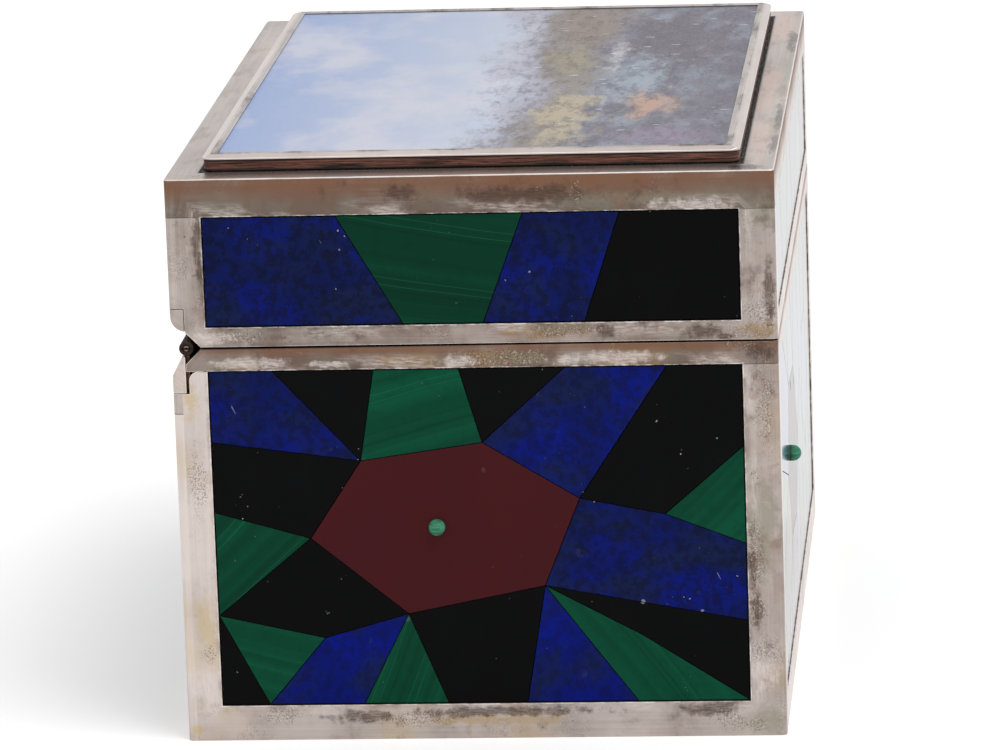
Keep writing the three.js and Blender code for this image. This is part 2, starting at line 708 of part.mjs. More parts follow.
const lid = new THREE.Group();
lid.add(
  named("lid_top_plate", topPlate, SILVER),
  frontFrame(LID), backFrame(LID), ...endFrames(LID), ...liners(LID),
  bearer(LID), lidStrip(), leaf(LID), ...plaque(),
  separateStones(LID, WALLS.left),
  mosaic(LID, "front"), mosaic(LID, "right"), mosaic(LID, "back"),
);

const presentationBox = new THREE.Group();
presentationBox.add(body, lid);

export default presentationBox;
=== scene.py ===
"""A silver presentation box with inlaid stone walls and a painted panel on its hinged lid."""

import math
import random

import bmesh
import bpy
from bpy.props import FloatProperty, FloatVectorProperty, IntProperty, PointerProperty
from mathutils import Matrix, Vector


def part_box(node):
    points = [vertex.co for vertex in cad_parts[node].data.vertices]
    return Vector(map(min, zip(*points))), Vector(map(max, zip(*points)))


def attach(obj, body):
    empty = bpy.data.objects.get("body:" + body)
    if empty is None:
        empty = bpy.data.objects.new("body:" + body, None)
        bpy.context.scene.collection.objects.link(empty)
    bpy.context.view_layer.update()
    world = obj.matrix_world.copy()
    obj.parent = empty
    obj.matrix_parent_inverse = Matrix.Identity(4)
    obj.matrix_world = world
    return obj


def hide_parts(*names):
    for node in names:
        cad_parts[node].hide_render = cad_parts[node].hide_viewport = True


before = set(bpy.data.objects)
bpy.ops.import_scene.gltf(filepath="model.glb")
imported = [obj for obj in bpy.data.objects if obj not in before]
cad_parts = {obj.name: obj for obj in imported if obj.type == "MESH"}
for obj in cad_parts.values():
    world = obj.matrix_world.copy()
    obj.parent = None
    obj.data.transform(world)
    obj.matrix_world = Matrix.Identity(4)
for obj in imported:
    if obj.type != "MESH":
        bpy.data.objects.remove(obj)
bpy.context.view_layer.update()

bl_info = {
    "name": "Silver presentation box",
    "version": (1, 0, 0),
    "blender": (4, 5, 0),
    "location": "View3D > Sidebar > Box",
    "description": "Dresses the box in tarnished silver, inlaid stone, gilding and paint",
    "category": "Object",
}

MM = 0.001
PER_MM = 1 / MM
MERGE = 0.002 * MM
CUT = MERGE / 10
FLAT_ANGLE = math.radians(1)
SHARP_ANGLE = math.radians(25)
CREASE_ANGLE = math.radians(50)
AXES = {"x": Vector((1, 0, 0)), "y": Vector((0, 1, 0)), "z": Vector((0, 0, 1))}
FLOOR_REACH = 8
SENSOR = 36
WHITE = (1, 1, 1, 1)

# Where nearly all values of a noise lie.
NOISE_RANGE = (0.3, 0.7)

# The steps of a quarter circle, and the least share of a face's normal that points along its wall's.
ARC_STEPS = 8
FACING = 0.5

# How far a grain moves on with the depth into a sheet, as a share of that depth.
GRAIN_DEPTH = 0.7

# Which way each wall faces, and which way is right for someone who looks at it from outside.
WALLS = {
    "left": (Vector((-1, 0, 0)), Vector((0, -1, 0))),
    "front": (Vector((0, -1, 0)), Vector((1, 0, 0))),
    "right": (Vector((1, 0, 0)), Vector((0, 1, 0))),
    "back": (Vector((0, 1, 0)), Vector((-1, 0, 0))),
}
STONE_KINDS = ("onyx", "lapis", "malachite", "jasper")

# The pin's head from its middle out: a share of the radius, and how many edges deep it is sunk.
PIN_HEAD = ((0, 1), (0.3, 1), (0.42, 0), (0.8, 0), (1, 2))
DIMPLE = 0.35

# Where a leaf's tongue starts, as a share of the knuckle's radius.
TONGUE_START = 0.75
KNUCKLE_SIDES = 28

# How far each wall's face stands from the middle of the box, in millimetres.
WALL_FACES = {"left": 73.5, "right": 73.5, "front": 50, "back": 50}
FRAME_SHEET = 1.6 * MM
STONE_RECESS = 0.2 * MM
SOLDER = 0.1 * MM
HAIRLINE = 0.004 * MM

# In millimetres: the joint between two stones, the gap at a window's edge, and the heights of the
# seam between the body and the lid and of the top of the lid's frames.
JOINT = 0.12
EDGE_GAP = 0.2
SEAM = 67.3
RIM = 95.6

# The most that a layer of the board stands back, in millimetres.
LAYER_INSET = 0.06

# Each window: half its width, its lower edge and its upper edge, in millimetres.
WINDOWS = {
    ("body", "left"): (44.1, 6, 63.35),
    ("body", "right"): (44.1, 6, 63.35),
    ("body", "front"): (67.6, 6, 63.35),
    ("body", "back"): (67.6, 6, 56.2),
    ("lid", "left"): (44.1, 70.75, 89.3),
    ("lid", "right"): (44.1, 70.75, 89.3),
    ("lid", "front"): (67.6, 70.75, 89.3),
    ("lid", "back"): (67.6, 77.4, 89.3),
}

# The film on the rail below, the stile on the hinge side, the other stile and the rail above.
MEMBER_FILMS = {
    ("body", "left"): (0.4, 0.19, 0.54, 0.88),
    ("lid", "left"): (0.7, 0.52, 0.5, 1.0),
    # The front frames carry almost no film: their pale, clean colour is a painted highlight for their bright
    # look at a glancing view.
    ("body", "front"): (0.05, 0, 0, 0.1),
    ("lid", "front"): (0.08, 0, 0, 0.2),
    ("body", "back"): (0.45, 0.4, 0.05, 0.4),
    ("lid", "back"): (0.6, 0.5, 0.42, 0.9),
}

# The least and the most film on the members of the other frames.
FILMS = (0.25, 0.65)

# Old marks on the left wall: the place along y and z, and the reach each way, in millimetres.
LEFT_MARKS = {
    "smoke": (
        (-45.6, 21.7, 0.9, 3.6), (-44.9, 29, 0.7, 4.5), (-37, 4.7, 5.5, 1.0), (20.4, 3.9, 5, 1.0),
        (-3, 4.6, 14, 0.8), (-22, 69.1, 1.3, 1.4), (-37.5, 69.0, 2.6, 1.2), (-41.6, 68, 1.5, 0.5),
        (-47, 65.5, 2.6, 1.3), (10.9, 92.7, 2.4, 1.4), (-9, 92.3, 9, 1.6), (44.9, 83.2, 0.8, 5.5),
        (-48.8, 76, 0.8, 4.5),
    ),
    "ochre": (
        (11, 64.8, 5.6, 0.9), (-4, 64.9, 6.5, 1.4), (46.2, 20, 1.8, 4.6), (48.6, 1.8, 1.1, 1.0),
        (47.3, 58.7, 1.2, 2.6), (-46, 69.3, 3, 1.2), (-12, 69.5, 7, 1.1), (-2, 3.2, 12, 0.9),
    ),
    "patina": (
        (-46.2, 2.3, 3.0, 2.2), (-46.6, 37, 2.3, 9.0), (-8, 64.7, 5, 1.3), (3.1, 64.7, 2.8, 1.1),
        (-14.5, 69.9, 5, 0.8), (-30, 91.5, 12, 1.2), (-48, 89, 2, 3),
    ),
    "pale": (
        (-15.6, 64.5, 2.8, 0.9), (-24, 64.7, 6, 1.1), (3.0, 64.5, 2.4, 0.9), (23.4, 64.3, 2.8, 0.5),
        (38, 64.6, 6, 0.8), (-46.2, 11, 2.2, 2.6), (-37, 90, 6, 1.2), (43, 69, 4, 1.0), (46, 8.5, 2.4, 3.5),
    ),
    "grit": (
        (-46.6, 14.8, 2.8, 2.4), (-41, 3, 2.6, 1.7), (-6, 64.9, 7, 1.5), (-47.6, 56, 1.3, 6.5),
        (-45.4, 30.5, 1.5, 5.5), (34.2, 4.1, 3.2, 1.5), (46.4, 44, 1.5, 5.8), (46.1, 15.1, 1.5, 1.5),
        (-15, 69.6, 5.5, 1.0), (-45.5, 44.5, 0.8, 0.7), (-45.6, 22, 1.6, 3.5), (-17.6, 92.6, 0.9, 1.7),
        (-47.5, 71.5, 2.2, 2.4), (-45.2, 2.0, 2.0, 1.2), (12, 3.6, 6, 1.2), (38.5, 69, 4, 1.2),
    ),
    "chips": (
        (22.3, 84, 1.0, 3.2), (-7, 82.5, 2.4, 1.0), (38, 86, 4, 1.8), (-30, 55, 1.0, 5), (-40, 52, 1.4, 4),
        (-38, 37, 1.0, 1.0), (38, 38, 2.4, 5), (23, 17, 1.2, 3.5), (-16, 57.5, 3, 1.2), (12, 60.5, 3, 1),
        (30, 60, 3, 1.2), (-33, 24, 3.5, 1.2), (-17, 12, 1.2, 1.2), (-38.5, 86.8, 2.6, 0.8),
        (-37, 79.8, 3.2, 0.7), (-32.5, 83.2, 1.4, 0.8), (-40, 74.5, 1.5, 0.8),
    ),
}

# Old marks on the lid's top sheet: the place along x and y, and the reach each way.
TOP_MARKS = {
    "blush": ((-48, -47, 18, 1.5), (-4, -46.4, 22, 1.7), (56, -46.8, 15, 1.9), (-71.6, 12, 1.5, 40)),
    "smoke": ((-54, -49.3, 7, 0.8), (-26, -49.2, 11, 0.7), (42, -48.8, 8, 0.9), (-71, -44.8, 1.6, 2.2)),
    "patina": ((-34, -48.7, 17, 1.0), (12, -49, 20, 0.8), (-72, 45, 1.2, 5)),
    "grit": ((-66, -44.6, 5, 1.2), (-71, 43.5, 1.4, 5)),
}

# How far a mark reaches into the wall and into the top sheet, in millimetres.
WALL_DEPTH = 0.6
TOP_DEPTH = 0.1

# The fields of the painted land: the place along x and y, the reach each way, and the colour.
FIELDS = (
    ((34, -29), (27, 9), (0.095, 0.08, 0.105)),
    ((45, -12), (15, 4.5), (0.2, 0.15, 0.125)),
    ((-6, -24), (18, 5), (0.25, 0.3, 0.36)),
    ((13, -11), (13, 3.5), (0.23, 0.205, 0.135)),
    ((-41, -14), (20, 5), (0.38, 0.32, 0.22)),
    ((-56, -30), (11, 6), (0.2, 0.16, 0.23)),
    ((-30, -27), (13, 4), (0.42, 0.26, 0.19)),
    ((-22, -37), (22, 3), (0.12, 0.115, 0.15)),
    ((14, -19), (13, 1.3), (0.4, 0.39, 0.42)),
)


def joint_places(bottom, top, left=(), right=(), **inner):
    """Where the middles of the joints meet, as shares of the window's width and of its height.

    Those on the edges are b1, b2 and so on, in the order given, and t, l and r likewise.
    """
    places = {"bottom_left": (0, 0), "bottom_right": (1, 0), "top_left": (0, 1), "top_right": (1, 1)}
    places |= {f"b{i}": (share, 0) for i, share in enumerate(bottom, 1)}
    places |= {f"t{i}": (share, 1) for i, share in enumerate(top, 1)}
    places |= {f"l{i}": (0, share) for i, share in enumerate(left, 1)}
    places |= {f"r{i}": (1, share) for i, share in enumerate(right, 1)}
    return places | inner


END_BODY_JOINTS = joint_places(
    bottom=(0.09, 0.27, 0.43, 0.58, 0.79), top=(0.86, 0.67, 0.47, 0.31, 0.12),
    left=(0.79, 0.58, 0.27), right=(0.24, 0.47, 0.76),
    m1=(0.18, 0.5), m2=(0.36, 0.27), m3=(0.62, 0.35), m4=(0.69, 0.61), m5=(0.51, 0.78), m6=(0.28, 0.73),
    i1=(0.85, 0.56), i2=(0.8, 0.2), i3=(0.2, 0.2),
)
END_BODY_STONES = (
    ("jasper", "m1 m2 m3 m4 m5 m6"),
    ("malachite", "l2 l3 m1"),
    ("onyx", "l1 l2 m1 m6"),
    ("lapis", "l1 m6 t5 top_left"),
    ("onyx", "m6 t4 t5"),
    ("malachite", "m6 m5 t3 t4"),
    ("onyx", "m5 t2 t3"),
    ("lapis", "m5 m4 t1 t2"),
    ("onyx", "m4 i1 r3 top_right t1"),
    ("malachite", "i1 r2 r3"),
    ("lapis", "m3 r1 r2 i1 m4"),
    ("onyx", "i2 bottom_right r1 m3"),
    ("malachite", "m3 b5 bottom_right i2"),
    ("lapis", "m3 b4 b5"),
    ("onyx", "m3 m2 b3 b4"),
    ("malachite", "m2 b2 b3"),
    ("lapis", "m2 i3 b1 b2"),
    ("onyx", "m1 l3 i3 m2"),
    ("malachite", "l3 b1 i3"),
    ("onyx", "l3 bottom_left b1"),
)
END_LID_JOINTS = joint_places(bottom=(0.37, 0.52, 0.71), top=(0.25, 0.6, 0.78))
END_LID_STONES = (
    ("lapis", "bottom_left b1 t1 top_left"),
    ("malachite", "b1 b2 t2 t1"),
    ("lapis", "b2 b3 t3 t2"),
    ("onyx", "b3 bottom_right top_right t3"),
)
LONG_BODY_JOINTS = joint_places(
    bottom=(0.08, 0.2, 0.31, 0.41, 0.55, 0.66, 0.77, 0.9),
    top=(0.1, 0.22, 0.36, 0.46, 0.57, 0.69, 0.81, 0.92), left=(0.3, 0.66), right=(0.28, 0.62),
    a1=(0.21, 0.52), a2=(0.29, 0.28), a3=(0.44, 0.26), a4=(0.52, 0.47), a5=(0.42, 0.74), a6=(0.27, 0.76),
    c1=(0.68, 0.44), c2=(0.77, 0.28), c3=(0.87, 0.46), c4=(0.82, 0.7), c5=(0.71, 0.68), e1=(0.62, 0.62),
)
LONG_BODY_STONES = (
    ("jasper", "a1 a2 a3 a4 a5 a6"),
    ("lapis", "bottom_left b1 l1"),
    ("onyx", "l1 b1 a2 a1"),
    ("malachite", "b1 b2 a2"),
    ("lapis", "b2 b3 a2"),
    ("onyx", "b3 b4 a3 a2"),
    ("lapis", "b4 b5 a4 a3"),
    ("malachite", "l1 a1 l2"),
    ("lapis", "l2 a1 a6 t1 top_left"),
    ("onyx", "a6 t2 t1"),
    ("malachite", "a6 a5 t3 t2"),
    ("onyx", "a5 t4 t3"),
    ("lapis", "a5 a4 e1 t5 t4"),
    ("onyx", "b5 b6 c1 e1 a4"),
    ("malachite", "e1 c1 c5 t6 t5"),
    ("lapis", "c1 c2 c3 c4 c5"),
    ("malachite", "b6 b7 c2 c1"),
    ("onyx", "b7 b8 c3 c2"),
    ("lapis", "b8 bottom_right r1"),
    ("malachite", "b8 r1 r2 c3"),
    ("onyx", "c3 r2 top_right t8 c4"),
    ("lapis", "c4 t8 t7"),
    ("onyx", "c5 c4 t7 t6"),
)
LONG_LID_JOINTS = joint_places(bottom=(0.2, 0.31, 0.52, 0.6, 0.84), top=(0.13, 0.38, 0.46, 0.71, 0.79))
LONG_LID_STONES = (
    ("lapis", "bottom_left b1 t1 top_left"),
    ("malachite", "b1 b2 t2 t1"),
    ("onyx", "b2 b3 t3 t2"),
    ("lapis", "b3 b4 t4 t3"),
    ("malachite", "b4 b5 t5 t4"),
    ("onyx", "b5 bottom_right top_right t5"),
)
END_LAYOUT = {"body": (END_BODY_JOINTS, END_BODY_STONES), "lid": (END_LID_JOINTS, END_LID_STONES)}
LONG_LAYOUT = {"body": (LONG_BODY_JOINTS, LONG_BODY_STONES), "lid": (LONG_LID_JOINTS, LONG_LID_STONES)}
LAYOUTS = {"left": END_LAYOUT, "right": END_LAYOUT, "front": LONG_LAYOUT, "back": LONG_LAYOUT}
MIRRORED = ("right", "back")

# From the darkest stone to the brightest.
SHADES = {"body": (0.4, 1), "lid": (0, 0.35)}

# How far a malachite's bands turn away from its longest side. They turn one way where the turn that
# was drawn is over the middle one, and the other way where it is under it.
BAND_TURNS = (0.02, 0.14)
MIDDLE_TURN = 1.5

# The film on the edges of a sheet, the stain on the silver's faces, and the stain on the sides of a window,
# which is grime with painted shade in the window's recess.
EDGE_FILM = 0.9
FACE_STAIN = 0.05
SIDE_GRIME_AND_SHADE = {"left": 1.9, "front": 1.35, "right": 1.35, "back": 1.35}

# How a face looks: its film, its stain from none over brown at 1 to black at 2, the shade of a
# stone, and how far it is above the joint of a rail, in millimetres.
USUAL_LOOKS = {"tone": 0.5, "stain": 0, "shade": 0.5, "above": 9}

# The place of each round stone in its window, as a share of the width and of the height.
CABOCHONS = {"left": (0.42, 0.53), "right": (0.42, 0.53), "front": (0.29, 0.54), "back": (0.29, 0.54)}


class FinishSettings(bpy.types.PropertyGroup):
    """Sizes and colours of the silver and of the gilding."""

    edge_round: FloatProperty(
        name="Edge round", description="Width of the worn round on the silver's edges",
        default=0.09 * MM, unit="LENGTH")
    sheet_round: FloatProperty(
        name="Sheet round", description="Width of the round on the edges of sheets and liners",
        default=0.2 * MM, unit="LENGTH")
    clean: FloatVectorProperty(
        name="Clean silver", description="Where the silver is rubbed clean",
        default=(0.65, 0.575, 0.545), subtype="COLOR")
    dull: FloatVectorProperty(
        name="Dull silver", description="Where a warm grey film covers the silver",
        default=(0.15, 0.109, 0.088), subtype="COLOR")
    stained: FloatVectorProperty(
        name="Stained silver", description="Brown stains on the silver",
        default=(0.2, 0.1, 0.062), subtype="COLOR")
    straw: FloatVectorProperty(
        name="Straw film", description="Thin yellow film on clean silver",
        default=(0.62, 0.5, 0.27), subtype="COLOR")
    # The bright edge is worn silver, and also a painted highlight on the rounded edges.
    bright: FloatVectorProperty(
        name="Bright edge", description="Edges that handling keeps bright",
        default=(0.9, 0.86, 0.84), subtype="COLOR")
    gilding: FloatVectorProperty(
        name="Gilding", description="The liners inside the box",
        default=(0.62, 0.45, 0.19), subtype="COLOR")
    blend: FloatProperty(
        name="Blend", description="How far the film of a rail runs on into a stile",
        default=5 * MM, unit="LENGTH")
    seed: IntProperty(name="Seed", description="Sets how the silver members differ", default=3)


class StoneSettings(bpy.types.PropertyGroup):
    """Sizes and colours of the inlaid stones."""

    edge_round: FloatProperty(
        name="Stone edge", description="Width of the bevel round each stone",
        default=0.05 * MM, unit="LENGTH")
    bed: FloatProperty(
        name="Bed", description="Thickness of the dark mastic behind the left stones",
        default=0.06 * MM, unit="LENGTH")
    seed: IntProperty(name="Seed", description="Sets how the stones differ from each other", default=7)
    onyx: FloatVectorProperty(
        name="Onyx", description="Black stone", default=(0.001, 0.0011, 0.0015), subtype="COLOR")
    lapis: FloatVectorProperty(
        name="Lapis", description="Blue stone", default=(0.0012, 0.0068, 0.17), subtype="COLOR")
    malachite: FloatVectorProperty(
        name="Malachite", description="Green stone", default=(0.0016, 0.062, 0.031), subtype="COLOR")
    jasper: FloatVectorProperty(
        name="Jasper", description="Red stone", default=(0.06, 0.0085, 0.0105), subtype="COLOR")
    dome: FloatVectorProperty(
        name="Round stones", description="The green of the round stones",
        default=(0.06, 0.25, 0.15), subtype="COLOR")
    dome_radius: FloatProperty(
        name="Dome radius", description="Radius of the round stones", default=1.38 * MM, unit="LENGTH")
    dome_rise: FloatProperty(
        name="Dome rise", description="How far the round stones stand out from the frames",
        default=1.65 * MM, unit="LENGTH")


class HingeSettings(bpy.types.PropertyGroup):
    """Sizes of the hinge."""

    knuckles: IntProperty(name="Knuckles", description="Number of knuckles in the row", default=7)
    gap: FloatProperty(
        name="Knuckle gap", description="Gap between two knuckles", default=0.3 * MM, unit="LENGTH")
    radius: FloatProperty(
        name="Knuckle radius", description="Outer radius of a knuckle", default=1.2 * MM, unit="LENGTH")
    bore: FloatProperty(
        name="Bore", description="Radius of the hole for the pin", default=0.6 * MM, unit="LENGTH")
    edge: FloatProperty(
        name="Knuckle edge", description="Round on the ends of the knuckles",
        default=0.08 * MM, unit="LENGTH")
    leaf: FloatProperty(
        name="Leaf", description="Thickness of the leaves", default=0.44 * MM, unit="LENGTH")
    end: FloatProperty(
        name="Leaf end", description="From the end of the row to the end of a leaf",
        default=2.0 * MM, unit="LENGTH")


class PlaqueSettings(bpy.types.PropertyGroup):
    """The plaque on the lid."""

    layers: IntProperty(name="Board layers", description="Layers glued up to make the board", default=3)
    corner: FloatProperty(
        name="Board corner", description="Radius of the board's upright corners",
        default=1.5 * MM, unit="LENGTH")
    layer_round: FloatProperty(
        name="Layer round", description="Width of the round on the edges of the board's layers",
        default=0.08 * MM, unit="LENGTH")
    rim_round: FloatProperty(
        name="Rim round", description="Width of the round on the edges of the rim",
        default=0.12 * MM, unit="LENGTH")
    horizon: FloatProperty(
        name="Horizon", description="Where the land starts, from 0 at the front to 1 at the hinge",
        default=0.42, subtype="FACTOR")
    sky: FloatVectorProperty(
        name="Sky", description="The blue of the painted sky", default=(0.235, 0.315, 0.53), subtype="COLOR")
    haze: FloatVectorProperty(
        name="Haze", description="The sky near the land", default=(0.45, 0.49, 0.575), subtype="COLOR")
    cloud: FloatVectorProperty(
        name="Cloud", description="The pale clouds", default=(0.51, 0.51, 0.57), subtype="COLOR")


class StageSettings(bpy.types.PropertyGroup):
    """The camera and the light."""

    lens: FloatProperty(name="Lens", description="Focal length for a 36 mm sensor", default=226.5)
    place: FloatVectorProperty(
        name="Place", description="Where the camera stands",
        default=(-1.0749, -0.093, 0.2991), subtype="TRANSLATION")
    yaw: FloatProperty(
        name="Yaw", description="Turn of the view away from the box's length",
        default=math.radians(5.064), subtype="ANGLE")
    pitch: FloatProperty(
        name="Pitch", description="How far the view points down",
        default=math.radians(13.266), subtype="ANGLE")
    roll: FloatProperty(
        name="Roll", description="Tilt of the picture", default=math.radians(-1.992), subtype="ANGLE")
    floor: FloatVectorProperty(
        name="Floor", description="Colour of the floor", default=(0.9, 0.9, 0.9), subtype="COLOR")
    floor_lift: FloatProperty(
        name="Floor lift", description="How far the floor is lifted towards white", default=0.24)
    sky_light: FloatProperty(
        name="Sky light", description="Strength of the even light all round", default=0.78)
    lamp_power: FloatProperty(
        name="Lamp power", description="Power of the soft lamp overhead", default=6.0, unit="POWER")
    lamp_size: FloatProperty(name="Lamp size", description="Side of the lamp", default=0.7, unit="LENGTH")
    lamp_place: FloatVectorProperty(
        name="Lamp place", description="Where the lamp hangs", default=(-0.35, -0.45, 1.1),
        subtype="TRANSLATION")


class BoxSettings(bpy.types.PropertyGroup):
    """All settings of the box."""

    finish: PointerProperty(type=FinishSettings)
    stone: PointerProperty(type=StoneSettings)
    hinge: PointerProperty(type=HingeSettings)
    plaque: PointerProperty(type=PlaqueSettings)
    stage: PointerProperty(type=StageSettings)


# Shader trees

class Wiring:
    """Adds nodes to a shader tree from left to right."""

    def __init__(self, tree):
        self.tree = tree
        self.column = 0

    def add(self, kind, inputs=None, **settings):
        node = self.tree.nodes.new(kind)
        node.location = (self.column * 180, 0)
        self.column += 1
        for name, value in settings.items():
            setattr(node, name, value)
        for name, value in (inputs or {}).items():
            self.feed(node.inputs[name], value)
        return node

    def feed(self, socket, value):
        if isinstance(value, bpy.types.NodeSocket):
            self.tree.links.new(value, socket)
        else:
            socket.default_value = value

    def math(self, operation, first, second=0.0, clamp=False):
        node = self.add("ShaderNodeMath", {0: first, 1: second}, operation=operation)
        node.use_clamp = clamp
        return node.outputs[0]

    def plus(self, first, second, clamp=False):
        return self.math("ADD", first, second, clamp)

    def minus(self, first, second):
        return self.math("SUBTRACT", first, second)

    def absolute(self, value):
        return self.math("ABSOLUTE", value)

    def times(self, first, *others):
        for other in others:
            first = self.math("MULTIPLY", first, other)
        return first

    def most(self, first, *others):
        for other in others:
            first = self.math("MAXIMUM", first, other)
        return first

    def span(self, value, low, high, to_low=0.0, to_high=1.0):
        inputs = {"Value": value, "From Min": low, "From Max": high, "To Min": to_low, "To Max": to_high}
        return self.add("ShaderNodeMapRange", inputs, clamp=True).outputs[0]

    def between(self, share, low, high):
        return self.span(share, 0.0, 1.0, low, high)

    def spread(self, noise, low, high):
        return self.span(noise, *NOISE_RANGE, low, high)

    def band(self, value, low, full, still, high):
        """A mask that rises from low to full, and falls again from still to high."""
        return self.times(self.span(value, low, full), self.span(value, high, still))

    def mix(self, factor, first, second, blend="MIX"):
        node = self.add("ShaderNodeMix", data_type="RGBA", blend_type=blend)
        self.feed(node.inputs[0], factor)
        self.feed(node.inputs[6], with_alpha(first))
        self.feed(node.inputs[7], with_alpha(second))
        return node.outputs[2]

    def tint(self, colour, mask, share, hue):
        """Lays a hue over a colour, as a share of a mask says."""
        return self.mix(self.times(mask, share), colour, hue)

    def split(self, vector):
        return self.add("ShaderNodeSeparateXYZ", {"Vector": vector}).outputs

    def join(self, **axes):
        return self.add("ShaderNodeCombineXYZ", axes).outputs[0]

    def stretch(self, vector, scale, turn=(0, 0, 0), shift=(0, 0, 0)):
        inputs = {"Vector": vector, "Scale": scale, "Rotation": turn, "Location": shift}
        return self.add("ShaderNodeMapping", inputs).outputs[0]

    def shifted(self, vector, shift):
        return self.stretch(vector, (1, 1, 1), shift=shift)

    def apart(self, vector, step, count):
        """Places a step, two steps and more away, so that two patterns don't fall on each other."""
        return [self.shifted(vector, tuple(Vector(step) * i)) for i in range(1, count + 1)]

    def slant(self, vector, size, turn):
        """Stretches a pattern to a size along axes of its own."""
        inputs = {"Vector": vector, "Scale": size, "Rotation": turn}
        return self.add("ShaderNodeMapping", inputs, vector_type="TEXTURE").outputs[0]

    def noise(self, vector, scale, detail, roughness=0.5):
        inputs = {"Vector": vector, "Scale": scale, "Detail": detail, "Roughness": roughness}
        return self.add("ShaderNodeTexNoise", inputs).outputs[0]

    def attribute(self, name):
        return self.add("ShaderNodeAttribute", attribute_name=name).outputs["Fac"]

    def place(self):
        """Object coordinates in millimetres."""
        point = self.add("ShaderNodeTexCoord").outputs["Object"]
        return self.stretch(point, (PER_MM,) * 3)

    def grain(self):
        """The piece's own map in millimetres, along and across the grain."""
        point = self.add("ShaderNodeUVMap", uv_map="grain").outputs[0]
        return self.stretch(point, (PER_MM,) * 3)


def with_alpha(colour):
    if isinstance(colour, bpy.types.NodeSocket):
        return colour
    return (*colour[:3], 1.0)


def start_group(name, inputs, outputs):
    """An empty node group with its sockets, and its wiring, input and output nodes."""
    tree = bpy.data.node_groups.new(name, "ShaderNodeTree")
    for label, kind, default in inputs:
        socket = tree.interface.new_socket(name=label, in_out="INPUT", socket_type=f"NodeSocket{kind}")
        if default is not None:
            socket.default_value = default
    for label, kind in outputs:
        tree.interface.new_socket(name=label, in_out="OUTPUT", socket_type=f"NodeSocket{kind}")
    wiring = Wiring(tree)
    given = wiring.add("NodeGroupInput").outputs
    wanted = wiring.add("NodeGroupOutput")
    return wiring, given, wanted


def group(name, build):
    return bpy.data.node_groups.get(name) or build(name)


def build_blotches(name):
    """Soft patches, with a limit below which there are none and one above which they are full."""
    inputs = [("Place", "Vector", None), ("Size", "Float", 10.0), ("From", "Float", 0.45),
              ("To", "Float", 0.6), ("Ragged", "Float", 0.55)]
    wiring, given, wanted = start_group(name, inputs, [("Mask", "Float")])
    scale = wiring.math("DIVIDE", 1.0, given["Size"])
    spread = wiring.noise(given["Place"], scale, 5.0, given["Ragged"])
    wiring.feed(wanted.inputs["Mask"], wiring.span(spread, given["From"], given["To"]))
    return wiring.tree


def build_specks(name):
    """Ragged specks. The size is a share of their spacing, and rarity the share that is left out."""
    inputs = [("Place", "Vector", None), ("Spacing", "Float", 3.0), ("Size", "Float", 0.12),
              ("Rarity", "Float", 0.55)]
    wiring, given, wanted = start_group(name, inputs, [("Mask", "Float")])
    scale = wiring.math("DIVIDE", 1.0, given["Spacing"])
    at = wiring.add("ShaderNodeVectorMath", {0: given["Place"], "Scale": scale}, operation="SCALE").outputs[0]
    cells = wiring.add("ShaderNodeTexVoronoi", {"Vector": at, "Scale": 1.0})
    chosen = wiring.add("ShaderNodeSeparateColor", {"Color": cells.outputs["Color"]})
    kept = wiring.math("GREATER_THAN", chosen.outputs[0], given["Rarity"])
    ragged = wiring.noise(at, wiring.math("DIVIDE", 0.8, given["Size"]), 3.0, 0.7)
    reach = wiring.spread(ragged, 0.3, 1.5)
    width = wiring.times(given["Size"], wiring.between(chosen.outputs[1], 0.35, 1.0))
    reach = wiring.times(reach, width)
    dot = wiring.span(cells.outputs["Distance"], reach, wiring.times(reach, 0.75))
    wiring.feed(wanted.inputs["Mask"], wiring.times(kept, dot))
    return wiring.tree


def build_patch(name):
    """A ragged patch about a place. The ragged input, from below zero to above, moves its edge."""
    inputs = [("Place", "Vector", None), ("Middle", "Vector", None), ("Reach", "Vector", None),
              ("Ragged", "Float", 0.0)]
    wiring, given, wanted = start_group(name, inputs, [("Mask", "Float")])
    offset = wiring.add("ShaderNodeVectorMath", {0: given["Place"], 1: given["Middle"]}, operation="SUBTRACT")
    share = wiring.add("ShaderNodeVectorMath", {0: offset.outputs[0], 1: given["Reach"]}, operation="DIVIDE")
    distance = wiring.add("ShaderNodeVectorMath", {0: share.outputs[0]}, operation="LENGTH").outputs["Value"]
    distance = wiring.plus(distance, given["Ragged"])
    wiring.feed(wanted.inputs["Mask"], wiring.span(distance, 1.3, 0.6))
    return wiring.tree


def build_grit(name):
    """Fine dark grains, with pale ones among them."""
    outputs = [("Dark", "Float"), ("Pale", "Float")]
    wiring, given, wanted = start_group(name, [("Place", "Vector", None)], outputs)
    fine = wiring.noise(given["Place"], 3.4, 2.0, 0.6)
    other = wiring.noise(wiring.stretch(given["Place"], (1, 1, 1), shift=(3, 5, 7)), 3.0, 2.0, 0.6)
    wiring.feed(wanted.inputs["Dark"], wiring.span(fine, 0.5, 0.4))
    wiring.feed(wanted.inputs["Pale"], wiring.span(other, 0.58, 0.66))
    return wiring.tree


def build_brushing(name):
    """Fine lines along the grain, as a brush or a cloth leaves them."""
    inputs = [("Grain", "Vector", None), ("Width", "Float", 0.25), ("Length", "Float", 14.0)]
    wiring, given, wanted = start_group(name, inputs, [("Lines", "Float")])
    along, across = wiring.split(given["Grain"])[:2]
    along = wiring.math("DIVIDE", along, given["Length"])
    across = wiring.math("DIVIDE", across, given["Width"])
    lines = wiring.noise(wiring.join(X=along, Y=across), 1.0, 3.0, 0.6)
    wiring.feed(wanted.inputs["Lines"], lines)
    return wiring.tree


def use(wiring, name, build, **inputs):
    """Places a shared group and returns its outputs."""
    node = wiring.add("ShaderNodeGroup", node_tree=group(name, build))
    for label, value in inputs.items():
        wiring.feed(node.inputs[label], value)
    return node.outputs


